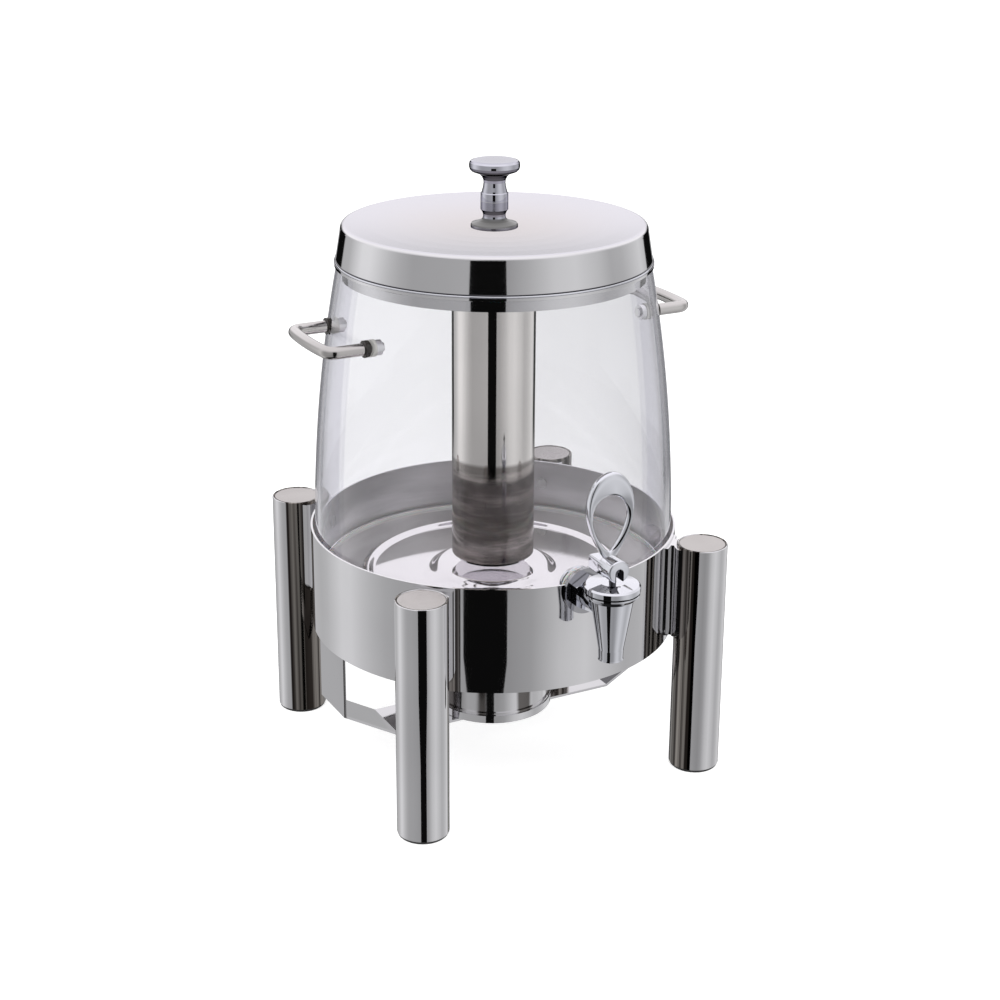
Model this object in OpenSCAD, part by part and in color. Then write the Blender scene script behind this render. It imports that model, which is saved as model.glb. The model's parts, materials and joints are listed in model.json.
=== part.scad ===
// Drink dispenser on a four-legged stand: a clear barrel with a lift-off lid, a cooling tube that
// hangs from the lid, a lever tap in front and a fuel burner on a strap shelf underneath.
// Millimetres, +Z up, origin on the stand's axis at floor level, tap towards -Y, handles at +X and -X.

/* [Stand] */
// Radial space between the barrel and the polished band
vessel_gap = 2; // [1.5:0.1:3]
// Height of the band
band_h = 80; // [70:1:90]
// Sheet thickness of the band
band_wall = 1.5; // [1:0.1:2]
// Height of the legs, which end level with the band's rim
leg_h = 183; // [175:1:200]
// Outer diameter of a leg tube
leg_d = 38; // [34:1:42]
// Wall of a leg tube
leg_wall = 1.5; // [1.2:0.1:2]
// Radial space between the band and a leg tube, filled by the saddle bracket
leg_gap = 5; // [4:0.5:8]
// Thickness of the black foot's flange under the tube
foot_flange_h = 2.4; // [2:0.1:4]
// Height of a saddle bracket
bracket_h = 73; // [60:1:76]
// Width of a saddle bracket round the band
bracket_w = 30; // [24:1:32]
// Thread diameter of the bracket screws
bracket_screw_d = 6; // [5:0.5:6]

/* [Shelf and burner] */
// Width of the strap shelf
strap_w = 44; // [36:1:50]
// Thickness of the strap
strap_t = 2; // [1.5:0.1:3]
// Height of the shelf's underside over the floor
shelf_z = 28.5; // [22:0.5:32]
// Horizontal reach of each of the strap's sloping ends
strap_slope = 43.7; // [36:0.1:50]
// Height over the shelf's underside at which the strap turns upright
strap_rise = 25; // [20:1:30]
// Outer diameter of the burner's cup
burner_d = 90; // [80:1:94]
// Height of the burner without its cover
burner_h = 56; // [45:1:58]
// Sheet thickness of the burner's cup
burner_wall = 1.2; // [0.8:0.1:1.5]
// Diameter of the fuel can
can_d = 80; // [60:1:82]

/* [Barrel] */
// Largest outer diameter of the clear barrel
barrel_d = 273; // [240:1:300]
// Wall of the barrel
barrel_wall = 3.5; // [3:0.1:4]
// Height of the barrel
barrel_h = 241; // [220:1:250]
// Radius of the curve that draws the barrel in towards its mouth
barrel_arc_r = 1100; // [1000:10:1400]
// Straight height at the foot of the barrel
barrel_straight_h = 30; // [20:1:40]
// Sheet thickness of the pressed floor pan
pan_t = 1.2; // [0.8:0.1:1.5]
// Diameter of the raised middle of the pan
plateau_d = 92; // [80:1:96]
// Rise of the pan's middle
plateau_h = 5.5; // [4:0.5:6]
// Outer diameter of the pan's pressed ring
pan_ring_d = 201; // [180:1:210]
// Width of the pan's pressed ring
pan_ring_w = 5; // [3:0.5:14]
// Height of the pan's pressed ring
pan_ring_h = 3; // [2:0.5:4]

/* [Handles] */
// Diameter of the handle rod
rod_d = 9; // [8:0.5:10]
// Distance between a handle's two posts
handle_w = 68; // [60:1:80]
// Height of the barrel's rim over the handles
handle_drop = 43; // [36:1:60]
// Distance of the grip's axis from the barrel's wall
grip_reach = 30.2; // [24:0.2:36]
// Centre-line radius of the rod's bends
rod_bend_r = 7; // [6:0.5:14]

/* [Lid] */
// Height of the lid above the barrel's rim
lid_h = 30; // [24:1:36]
// Reach of the lid's wall past the barrel's rim, on the radius
lid_overhang = 0.9; // [0.6:0.1:2]
// Draw-in of the lid's wall towards its top, on the radius
lid_taper = 4; // [2:0.1:5]
// Sheet thickness of the lid
lid_t = 1; // [0.8:0.1:1.2]
// Dish of the lid's top at its middle
lid_dish = 4; // [2:0.5:5]
// Radius of the lid's top edge
lid_edge_r = 3.5; // [2.5:0.5:5]
// Depth of the collar inside the barrel's mouth
collar_depth = 9; // [6:0.5:12]
// Diameter of the knob's head
knob_d = 37.2; // [34:0.2:40]
// Height of the knob
knob_h = 49.5; // [44:0.5:54]

/* [Cooling tube] */
// Outer diameter of the cooling tube
tube_d = 63; // [58:0.5:66]
// Wall of the cooling tube
tube_wall = 1.2; // [1:0.1:1.5]
// Space between the tube's bottom and the pan's raised middle
tube_clear = 6.5; // [4:0.5:12]

/* [Tap] */
// Height of the tap's shank over the barrel's foot
tap_rise = 33; // [30:1:36]
// Diameter of the threaded shank
shank_d = 16; // [14:0.5:18]
// Distance from the band to the spout's axis
tap_reach = 39; // [36:1:50]
// Diameter of the chrome washer behind the nut
tap_washer_d = 34.4; // [34:0.2:38]
// Size across the flats of the tap's nuts
tap_nut_af = 24; // [22:0.5:26]
// Largest diameter of the bonnet
bonnet_d = 39.4; // [38:0.2:42]
// Outer diameter at the top of the spout cone
cone_d = 30.4; // [29.6:0.2:31]
// Outer diameter at the mouth of the spout
spout_d = 17.4; // [16:0.2:19]
// Bore of the spout's mouth
spout_bore = 12.6; // [11:0.2:13]
// Drop of the spout's mouth under the shank's axis
spout_drop = 37.5; // [34:0.5:44]
// Height of the lever's loop over its foot in the rocker
loop_h = 65.5; // [58:0.5:72]
// Width of the lever's loop
loop_w = 35.4; // [30:0.2:44]
// Thickness of the lever's loop
loop_t = 6.5; // [5:0.5:8]

/* [Clearances] */
// Radial space of a fixed piece in its seat
seat_fit = 0.1; // [0.06:0.01:0.15]
// Radial space of a running fit
run_fit = 0.05; // [0.03:0.01:0.08]
// Space under a piece that lifts off its seat
rest_gap = 0.2; // [0.1:0.05:0.3]
// Space between curved pieces that pass each other
pass_gap = 0.4; // [0.3:0.05:0.6]

/* [Hidden] */
$fn = 72;
fine_fn = 360;
cut = 1;

// Angles of the four legs round the stand's axis
front_left_angle = 225;
front_right_angle = 315;
rear_left_angle = 135;
rear_right_angle = 45;
LEGS = [front_left_angle, front_right_angle, rear_left_angle, rear_right_angle];
quarter = 90;
half_turn = 180;
full_turn = 360;

// Stand, derived
barrel_r = barrel_d / 2;
band_ri = barrel_r + vessel_gap;
band_r = band_ri + band_wall;
leg_r = leg_d / 2;
leg_ri = leg_r - leg_wall;
leg_at = band_r + leg_gap + leg_r;
cap_sink = 0.4;
cap_t = 1.6;
cap_ring_gap = 0.5;
cap_skirt_h = 8;
cap_skirt_t = 1.4;
foot_inset = 0.7;
foot_edge = 0.8;
foot_plug_h = 14;
bracket_drop = 2;
bracket_flange_t = 2;
bracket_web_w = 14;
bracket_corner_r = 7;
corner_steps = 6;
screw_drop_high = 19;
screw_drop_low = 60;
SCREW_ROWS = [screw_drop_high, screw_drop_low];
screw_head_r = 4.7;
screw_head_t = 1.1;
screw_hole_r = bracket_screw_d / 2 + seat_fit;
leg_nut_af = 10;
leg_nut_t = 5;
nut_corner_share = 1 / cos(30);
leg_nut_corner_r = leg_nut_af / 2 * nut_corner_share;
leg_nut_x = leg_at - sqrt(pow(leg_ri, 2) - pow(leg_nut_corner_r, 2)) + seat_fit;
screw_end_x = leg_nut_x + leg_nut_t + leg_wall;
screw_head_x = sqrt(pow(band_ri, 2) - pow(screw_head_r, 2)) - run_fit;

// Levels of the vessel over the floor
pan_step_down = 41.4;
pan_z = leg_h - pan_step_down;
barrel_z = pan_z + 2 * pan_t + pan_t / 2;
seal_t = barrel_z - pan_z - pan_t;
barrel_top = barrel_z + barrel_h;
plateau_z = pan_z + pan_t + plateau_h;

// Support ring, derived
ledge_w = 14;
ledge_skirt_h = 10;

// Strap shelf, derived
strap_tab_h = 17;
strap_x = sqrt(pow(band_ri, 2) - pow(strap_w / 2, 2)) - run_fit;
shelf_top = shelf_z + strap_t;
band_foot = leg_h - band_h;

// Burner, derived
burner_z = shelf_top + rest_gap;
burner_r = burner_d / 2;
burner_base_t = 1.5;
burner_rim_t = 1.4;
burner_rim_r = burner_r + burner_rim_t;
burner_rim_h = 6;
burner_groove = 1.2;
can_r = can_d / 2;
can_headroom = 18;
can_h = burner_h - can_headroom;
can_rim = 2.5;
can_mouth_r = 26;
can_mouth_depth = 6;
cover_t = 1.5;
cover_lip = 0.5;
cover_r = burner_r + cover_lip;
cover_pin_r = 2.5;
cover_pin_inset = 6;
cover_pin_at = burner_r - cover_pin_inset;
cover_boss_r = 5;
cover_tab_l = 16;
cover_tab_w = 14;
cover_knob_r = 5;
cover_knob_h = 8;

// Barrel, derived
barrel_steps = 20;
barrel_hole_r = 3.4;
function barrel_out(z) = z < barrel_straight_h ? barrel_r
    : barrel_r - barrel_arc_r + sqrt(pow(barrel_arc_r, 2) - pow(z - barrel_straight_h, 2));
barrel_levels = concat([0], [for (i = [0 : barrel_steps])
    barrel_straight_h + (barrel_h - barrel_straight_h) * i / barrel_steps]);

// Pan, derived
pan_lip = 0.3;
pan_r = barrel_r + pan_lip;
plateau_r = plateau_d / 2;
pan_ring_r = pan_ring_d / 2;
plateau_slope = 5;
ring_slope = 3;
seal_lip = 0.2;

// Handles, derived
handle_rise = barrel_h - handle_drop;
handle_z = barrel_z + handle_rise;
post_y = handle_w / 2;
rod_r = rod_d / 2;
post_wall_x = sqrt(pow(barrel_out(handle_rise), 2) - pow(post_y, 2));
stud_r = 3;
washer_r = 6.2;
washer_out_t = 3.4;
washer_in_t = 1.6;
handle_nut_r = 5.6;
handle_nut_t = 4.5;
handle_nut_tip = 2;
inner_washer_reach = 4;
handle_in_x = post_wall_x - barrel_wall - inner_washer_reach;
grip_x = post_wall_x + grip_reach;

// Tap, derived: y runs outwards to the front as a negative number
tap_z = barrel_z + tap_rise;
tap_y = -(band_r + tap_reach);
shank_r = shank_d / 2;
shank_bore_r = 5.5;
gasket_r = 13.5;
notch_gap = 1;
notch_r = gasket_r + notch_gap;
washer_back_y = -(band_r + pass_gap + rest_gap);
tap_washer_t = 3.2;
tap_nut_t = 7;
tap_washer_y = washer_back_y - tap_washer_t;
tap_nut_y = tap_washer_y - tap_nut_t;
inner_gasket_t = 2.5;
tap_inner_y = -(barrel_out(tap_rise) - barrel_wall) + inner_gasket_t;
shank_over = 3;
shank_end_y = tap_inner_y + tap_nut_t + shank_over;
neck_r = 9.5;
neck_l = 12;
neck_gap = 0.6;
cone_r = cone_d / 2;
spout_r = spout_d / 2;
spout_z = tap_z - spout_drop;
spout_tip_h = 8;
spout_flare = 0.3;
spout_bead_h = 1;
cone_rise = shank_r + seat_fit;
thread_rise = 13.5;
cone_top_z = tap_z + cone_rise;
body_top_z = tap_z + thread_rise;
thread_r = 13.5;
chamber_r = 10.5;
seat_drop = 8;
seat_z = tap_z - seat_drop;
seat_t = 3;
seat_bore_r = 5.5;

// Bonnet, derived
bonnet_r = bonnet_d / 2;
bonnet_lip = 0.6;
bonnet_bead = 0.4;
bonnet_groove_depth = 1.9;
bonnet_low_r = cone_r + bonnet_lip;
bonnet_brow_r = bonnet_r - bonnet_bead;
bonnet_groove_r = bonnet_r - bonnet_groove_depth;
bonnet_z = cone_top_z + run_fit;
bonnet_low_h = 4.9;
bonnet_groove_h = 0.8;
bonnet_high_h = 5.2;
bonnet_edge = 1.2;
bonnet_rise = 1.6;
bonnet_crown_r = 9.5;
bonnet_plate_t = 4;
gasket_t = 1.4;
bonnet_top_z = bonnet_z + bonnet_low_h + bonnet_groove_h + bonnet_high_h + bonnet_rise;

// Valve, derived
stem_r = 2.5;
stem_disc_r = 6;
stem_disc_t = 2;
cup_floor_t = 2.4;
cup_h = 6;
cup_r = 8.4;

// Lever, derived
rocker_r = 8.2;
rocker_gap = 1.5;
pivot_z = bonnet_top_z + rocker_gap + rocker_r;
pin_r = 1.5;
rocker_front = 7;
rocker_dome = 2;
rocker_back = 21;
rocker_block_w = 15;
rocker_block_up = 4.5;
rocker_block_down = 6;
stem_head_w = 6;
stem_head_l = 7;
stem_head_h = 5;
fork_w = stem_head_w + 2 * pass_gap;
fork_back = 4.6;
fork_window_h = 2.5;
loop_set_back = 6;
loop_foot_rise = 3;
loop_foot_z = pivot_z + loop_foot_rise;
loop_steps = 48;
loop_side = 4.3;
loop_crown = 17;
loop_sole = 8;
loop_foot_share = 0.58;
loop_wide_share = 0.87;

// Lid, derived
lid_z = barrel_top + rest_gap;
lid_r = barrel_out(barrel_h) + lid_overhang;
lid_top_z = barrel_top + lid_h;
lid_mid_z = lid_top_z - lid_dish;
collar_flange_t = 2;
collar_lip = 0.9;
collar_gap = 0.8;
collar_head_gap = 0.6;
collar_flange_r = lid_r + collar_lip;
collar_r = barrel_out(barrel_h) - barrel_wall - collar_gap;
lid_wall_z = lid_z + collar_flange_t + run_fit;
collar_top_z = lid_mid_z + lid_dish / 2 - lid_t - collar_head_gap;
lid_arc_steps = 8;
dish_steps = 6;

// Knob, derived
knob_r = knob_d / 2;
knob_screw_r = 2.5;
knob_head_t = 7.5;
knob_parts_z = lid_mid_z + knob_h * 0.4;

// Cooling tube, derived
tube_r = tube_d / 2;
tube_ri = tube_r - tube_wall;
tube_z = plateau_z + tube_clear;
tube_bevel = 2.6;
socket_t = 1.5;
socket_gap = 0.6;
socket_r = tube_ri - socket_gap;
socket_h = 18;
socket_top_z = lid_mid_z - lid_t;
tube_head_gap = 1.5;
tube_top_z = socket_top_z - socket_t - tube_head_gap;
lug_r = 2.2;
lug_l = 3.4;
lug_rise = 7;
lug_z = socket_top_z - socket_h + lug_rise;
lug_angles = [0, 180];
slot_turn = 50;
slot_gap = 0.4;

// Shared shapes
module ring(r_out, r_in, z_low, z_high) {
    translate([0, 0, z_low]) difference() {
        cylinder(r = r_out, h = z_high - z_low);
        translate([0, 0, -cut]) cylinder(r = r_in, h = z_high - z_low + 2 * cut);
    }
}

module along_x(x_from, x_to, r) {
    translate([x_from, 0, 0]) rotate([0, quarter, 0]) cylinder(r = r, h = x_to - x_from);
}

// A round bar along Y between two places, the lower one first
module along_y(y_from, y_to, r) {
    translate([0, y_from, 0]) rotate([-quarter, 0, 0]) cylinder(r = r, h = y_to - y_from);
}

module hex_y(y_from, y_to, across) {
    translate([0, y_from, 0]) rotate([-quarter, 0, 0]) rotate([0, 0, half_turn / 6])
        cylinder(r = across / 2 * nut_corner_share, h = y_to - y_from, $fn = 6);
}

// Stand
module screw_places(angle) {
    rotate([0, 0, angle]) for (drop = SCREW_ROWS) translate([0, 0, leg_h - drop]) children();
}

module band() {
    color("silver") difference() {
        ring(band_r, band_ri, band_foot, leg_h);
        for (angle = LEGS) screw_places(angle)
            along_x(band_ri - cut, band_r + cut, screw_hole_r);
        translate([0, 0, tap_z]) along_y(-band_r - cut, -band_ri + notch_r, notch_r);
        translate([-notch_r, -band_r - cut, tap_z]) cube([2 * notch_r, notch_r + cut, band_h]);
    }
}

module support_ring() {
    ledge_z = pan_z - rest_gap;
    color("gainsboro") {
        ring(band_ri - seat_fit, band_ri - ledge_w, ledge_z - band_wall, ledge_z);
        ring(band_ri - seat_fit, band_ri - seat_fit - band_wall, ledge_z - ledge_skirt_h, ledge_z);
    }
}

module shelf_strap() {
    length = sqrt(pow(strap_slope, 2) + pow(strap_rise, 2));
    lean = [strap_rise / length, strap_slope / length];
    up = [0, 1];
    side = [1, 0];
    fold = [-strap_x, shelf_z + strap_rise];
    corner = [strap_slope - strap_x, shelf_z];
    fold_in = fold + strap_t * (side + lean) / (1 + side * lean);
    corner_in = corner + strap_t * (up + lean) / (1 + up * lean);
    top = band_foot + strap_tab_h;
    left = [[-strap_x, top], fold, corner];
    left_in = [corner_in, fold_in, [-strap_x + strap_t, top]];
    mirrored = [for (p = [left[2], left[1], left[0]]) [-p[0], p[1]]];
    mirrored_in = [for (p = [left_in[2], left_in[1], left_in[0]]) [-p[0], p[1]]];
    color("silver") translate([0, strap_w / 2, 0]) rotate([quarter, 0, 0])
        linear_extrude(height = strap_w) polygon(concat(left, mirrored, mirrored_in, left_in));
}

module leg(angle) {
    color("silver") difference() {
        rotate([0, 0, angle]) translate([leg_at, 0, 0]) rotate_extrude() {
            translate([leg_ri, foot_flange_h]) square([leg_wall, leg_h - foot_flange_h - leg_wall / 2]);
            translate([leg_ri + leg_wall / 2, leg_h - leg_wall / 2]) circle(r = leg_wall / 2);
        }
        screw_places(angle) along_x(leg_at - leg_r - cut, leg_at, screw_hole_r);
    }
}

module leg_cap(angle) {
    top = leg_h - cap_sink;
    color("linen") rotate([0, 0, angle]) translate([leg_at, 0, 0]) {
        translate([0, 0, top - cap_t]) cylinder(r = leg_ri - cap_ring_gap, h = cap_t);
        ring(leg_ri - seat_fit, leg_ri - seat_fit - cap_skirt_t, top - cap_t - cap_skirt_h, top - cap_t);
    }
}

module foot(angle) {
    color("black") rotate([0, 0, angle]) translate([leg_at, 0, 0]) {
        cylinder(r1 = leg_r - foot_inset - foot_edge, r2 = leg_r - foot_inset, h = foot_edge);
        translate([0, 0, foot_edge]) cylinder(r = leg_r - foot_inset, h = foot_flange_h - foot_edge);
        translate([0, 0, foot_flange_h]) cylinder(r = leg_ri - seat_fit, h = foot_plug_h);
    }
}

module bracket_plan() {
    width = bracket_w;
    intersection() {
        difference() {
            circle(r = band_r + run_fit + bracket_flange_t, $fn = fine_fn);
            circle(r = band_r + run_fit, $fn = fine_fn);
        }
        translate([0, -width / 2]) square([leg_at, width]);
    }
    intersection() {
        translate([leg_at, 0]) difference() {
            circle(r = leg_r + run_fit + bracket_flange_t, $fn = fine_fn);
            circle(r = leg_r + run_fit, $fn = fine_fn);
        }
        translate([0, -width / 2]) square([leg_at, width]);
    }
    difference() {
        translate([band_r - cut, -bracket_web_w / 2]) square([leg_gap + leg_r, bracket_web_w]);
        circle(r = band_r + run_fit, $fn = fine_fn);
        translate([leg_at, 0]) circle(r = leg_r + run_fit, $fn = fine_fn);
    }
}

// Side view of a bracket, with its two lower corners rounded
module bracket_side() {
    half = bracket_w / 2;
    arc = [for (i = [0 : corner_steps]) let (a = quarter * i / corner_steps)
        bracket_corner_r * [cos(a) - 1, 1 - sin(a)]];
    right = [for (p = arc) [half + p[0], p[1]]];
    left = [for (i = [corner_steps : -1 : 0]) [-right[i][0], right[i][1]]];
    polygon(concat([[half, bracket_h]], right, left, [[-half, bracket_h]]));
}

module bracket(angle) {
    low = leg_h - bracket_drop - bracket_h;
    color("silver") difference() {
        rotate([0, 0, angle]) translate([0, 0, low]) intersection() {
            linear_extrude(height = bracket_h) bracket_plan();
            rotate([quarter, 0, quarter]) linear_extrude(height = leg_at) bracket_side();
        }
        screw_places(angle) along_x(band_r - cut, leg_at, screw_hole_r);
    }
}

module bracket_screws() {
    color("gray") for (angle = LEGS) screw_places(angle) {
        along_x(screw_head_x - screw_head_t, screw_head_x, screw_head_r);
        along_x(screw_head_x - screw_head_t / 2, screw_end_x, bracket_screw_d / 2);
    }
}

module leg_nuts() {
    color("gray") for (angle = LEGS) screw_places(angle) difference() {
        translate([leg_nut_x, 0, 0]) rotate([0, quarter, 0])
            cylinder(r = leg_nut_corner_r, h = leg_nut_t, $fn = 6);
        along_x(leg_nut_x - cut, leg_nut_x + leg_nut_t + cut, bracket_screw_d / 2 + run_fit);
    }
}

// Burner
module burner_base() {
    color("silver") difference() {
        translate([0, 0, burner_z]) cylinder(r = burner_rim_r, h = burner_rim_h);
        translate([0, 0, burner_z + burner_base_t]) cylinder(r = burner_r + seat_fit, h = burner_rim_h);
    }
}

module burner_cup() {
    foot_z = burner_z + burner_base_t;
    groove_z = burner_z + burner_rim_h;
    color("silver") difference() {
        translate([0, 0, foot_z]) cylinder(r = burner_r, h = burner_h - burner_base_t);
        translate([0, 0, foot_z + burner_wall]) cylinder(r = burner_r - burner_wall, h = burner_h);
    }
    color("silver") ring(burner_r + burner_groove, burner_r - burner_wall / 2,
        groove_z + burner_groove, groove_z + 2 * burner_groove);
}

module fuel_can() {
    low = burner_z + burner_base_t + burner_wall;
    color("goldenrod") difference() {
        union() {
            translate([0, 0, low]) cylinder(r = can_r - can_rim / 2, h = can_h);
            translate([0, 0, low + can_h - can_rim]) cylinder(r = can_r, h = can_rim);
            translate([0, 0, low]) cylinder(r = can_r, h = can_rim);
        }
        translate([0, 0, low + can_h - can_mouth_depth])
            cylinder(r = can_mouth_r, h = can_mouth_depth + cut);
    }
}

module burner_cover() {
    low = burner_z + burner_h + rest_gap;
    color("silver") difference() {
        union() {
            translate([0, 0, low]) cylinder(r = cover_r, h = cover_t);
            translate([-cover_tab_w / 2, -cover_r - cover_tab_l / 2, low])
                cube([cover_tab_w, cover_tab_l, cover_t]);
        }
        translate([cover_pin_at, 0, low - cut])
            cylinder(r = cover_pin_r + run_fit, h = cover_t + 2 * cut);
        translate([0, -cover_r - cover_tab_l / 4, low - cut])
            cylinder(r = cover_pin_r + seat_fit, h = cover_t + 2 * cut);
    }
}

module cover_pin() {
    top = burner_z + burner_h + rest_gap + cover_t + rest_gap;
    reach = burner_h / 4;
    color("gray") {
        translate([cover_pin_at, 0, top - reach]) cylinder(r = cover_pin_r, h = reach + cover_pin_r / 2);
        translate([cover_pin_at, 0, top]) cylinder(r = cover_boss_r, h = cover_t);
        difference() {
            translate([cover_pin_at, 0, top - reach - cover_t])
                cylinder(r = cover_boss_r, h = reach - cover_t * 2);
            translate([0, 0, top - 2 * reach])
                ring(burner_r * 2, burner_r - burner_wall - run_fit, 0, 2 * reach);
        }
    }
}

module cover_knob() {
    low = burner_z + burner_h + rest_gap + cover_t;
    color("black") translate([0, -cover_r - cover_tab_l / 4, 0]) {
        translate([0, 0, low - cover_t]) cylinder(r = cover_pin_r, h = cover_t + cover_pin_r);
        translate([0, 0, low]) cylinder(r = cover_knob_r * 0.7, h = cover_knob_h / 2);
        translate([0, 0, low + cover_knob_h / 2]) cylinder(r = cover_knob_r, h = cover_knob_h / 2);
    }
}

// Vessel
module barrel_body(grow) {
    translate([0, 0, barrel_z]) rotate_extrude($fn = fine_fn) polygon(concat(
        [[0, 0]], [for (z = barrel_levels) [barrel_out(z) + grow, z]], [[0, barrel_h]]));
}

module barrel() {
    color("aliceblue", 0.35) difference() {
        translate([0, 0, barrel_z]) rotate_extrude() polygon(concat(
            [for (z = barrel_levels) [barrel_out(z), z]],
            [for (i = [len(barrel_levels) - 1 : -1 : 0])
                [barrel_out(barrel_levels[i]) - barrel_wall, barrel_levels[i]]]));
        for (side = [-1, 1]) translate([0, side * post_y, handle_z])
            along_x(-barrel_r - cut, barrel_r + cut, barrel_hole_r);
        translate([0, 0, tap_z]) along_y(-barrel_r - cut, -barrel_r / 2, shank_r + seat_fit);
    }
}

// Upper outline of the pan from its middle to its edge
pan_outline = [
    [0, plateau_h], [plateau_r - plateau_slope / 2, plateau_h], [plateau_r + plateau_slope / 2, 0],
    [pan_ring_r - pan_ring_w - ring_slope, 0], [pan_ring_r - pan_ring_w, pan_ring_h],
    [pan_ring_r - ring_slope / 2, pan_ring_h], [pan_ring_r + 2 * ring_slope, 0], [pan_r, 0]
];

module floor_pan() {
    last = len(pan_outline) - 1;
    color("whitesmoke") translate([0, 0, pan_z]) rotate_extrude() polygon(concat(
        [for (p = pan_outline) [p[0], p[1] + pan_t]],
        [for (i = [last : -1 : 0]) pan_outline[i]]));
}

module pan_seal() {
    low = pan_z + pan_t;
    inner = barrel_r - barrel_wall - seal_lip;
    color("ghostwhite") ring(barrel_r + seal_lip, inner, low, low + seal_t);
}

// Handle of bent rod on the +X side, with a stud at the end of each post
module handle() {
    bend_x = grip_x - rod_bend_r;
    bend_y = post_y - rod_bend_r;
    post_x = post_wall_x + washer_out_t * 0.6;
    translate([0, 0, handle_z]) {
        translate([grip_x, 0, 0]) along_y(-bend_y, bend_y, rod_r);
        for (side = [-1, 1]) {
            translate([0, side * post_y, 0]) along_x(post_x, bend_x, rod_r);
            translate([0, side * post_y, 0]) along_x(handle_in_x - handle_nut_t, post_x + cut, stud_r);
            translate([bend_x, side * bend_y, 0]) rotate([0, 0, side > 0 ? 0 : -quarter])
                rotate_extrude(angle = quarter) translate([rod_bend_r, 0]) circle(r = rod_r);
        }
    }
}

module handle_left() { color("silver") rotate([0, 0, half_turn]) handle(); }

module handle_right() { color("silver") handle(); }

module post_places() {
    for (turn = [0, half_turn]) rotate([0, 0, turn]) for (side = [-1, 1])
        translate([0, side * post_y, handle_z]) children();
}

module handle_outer_washers() {
    post_x = post_wall_x + washer_out_t * 0.6;
    color("dimgray") difference() {
        post_places() along_x(post_x - 2 * washer_out_t, post_x, washer_r);
        barrel_body(run_fit);
        post_places() along_x(0, grip_x, barrel_hole_r);
    }
}

module handle_inner_washers() {
    color("lightgray") difference() {
        intersection() {
            post_places() along_x(handle_in_x, post_wall_x, washer_r);
            barrel_body(-barrel_wall - run_fit);
        }
        post_places() along_x(0, grip_x, barrel_hole_r);
    }
}

module handle_nuts() {
    color("silver") difference() {
        post_places() {
            along_x(handle_in_x - handle_nut_t, handle_in_x - run_fit, handle_nut_r);
            along_x(handle_in_x - handle_nut_t - handle_nut_tip, handle_in_x - handle_nut_t + cut,
                handle_nut_r * 0.6);
        }
        post_places() along_x(handle_in_x - handle_nut_t - run_fit, grip_x, stud_r + run_fit);
    }
}

// Tap
module spout_axis() { translate([0, tap_y, 0]) children(); }

module tap_body() {
    height = cone_top_z - spout_z;
    color("silver") difference() {
        union() {
            translate([0, 0, tap_z]) along_y(tap_y, shank_end_y, shank_r);
            translate([0, 0, tap_z]) along_y(tap_nut_y - neck_gap - neck_l, tap_nut_y - neck_gap, neck_r);
            spout_axis() translate([0, 0, spout_z]) rotate_extrude() polygon([
                [0, 0], [spout_r + spout_flare, 0],
                [spout_r, spout_bead_h], [spout_r + spout_flare, spout_tip_h],
                [cone_r, height], [0, height]]);
            spout_axis() translate([0, 0, cone_top_z])
                cylinder(r = thread_r, h = body_top_z - cone_top_z);
        }
        spout_axis() translate([0, 0, spout_z - cut])
            cylinder(r = spout_bore / 2, h = seat_z - seat_t - spout_z + cut);
        spout_axis() translate([0, 0, seat_z - seat_t - cut])
            cylinder(r = seat_bore_r, h = seat_t + 2 * cut);
        spout_axis() translate([0, 0, seat_z]) cylinder(r = chamber_r, h = body_top_z - seat_z + cut);
        translate([0, 0, tap_z]) along_y(tap_y, shank_end_y + cut, shank_bore_r);
    }
}

module tap_outer_gasket() {
    color("whitesmoke") difference() {
        translate([0, 0, tap_z]) along_y(washer_back_y, -barrel_r / 2, gasket_r);
        barrel_body(run_fit);
        translate([0, 0, tap_z]) along_y(washer_back_y - cut, 0, shank_r + seat_fit);
    }
}

module tap_washer() {
    color("silver") translate([0, 0, tap_z]) difference() {
        along_y(tap_washer_y, washer_back_y, tap_washer_d / 2);
        along_y(tap_washer_y - cut, washer_back_y + cut, shank_r + seat_fit);
    }
}

module tap_outer_nut() {
    color("silver") translate([0, 0, tap_z]) difference() {
        hex_y(tap_nut_y, tap_washer_y, tap_nut_af);
        along_y(tap_nut_y - cut, tap_washer_y + cut, shank_r + run_fit);
    }
}

module tap_inner_gasket() {
    color("whitesmoke") difference() {
        intersection() {
            translate([0, 0, tap_z]) along_y(-barrel_r, tap_inner_y, gasket_r);
            barrel_body(-barrel_wall - run_fit);
        }
        translate([0, 0, tap_z]) along_y(-barrel_r, tap_inner_y + cut, shank_r + seat_fit);
    }
}

module tap_inner_nut() {
    color("silver") translate([0, 0, tap_z]) difference() {
        hex_y(tap_inner_y, tap_inner_y + tap_nut_t, tap_nut_af);
        along_y(tap_inner_y - cut, tap_inner_y + tap_nut_t + cut, shank_r + run_fit);
    }
}

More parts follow.
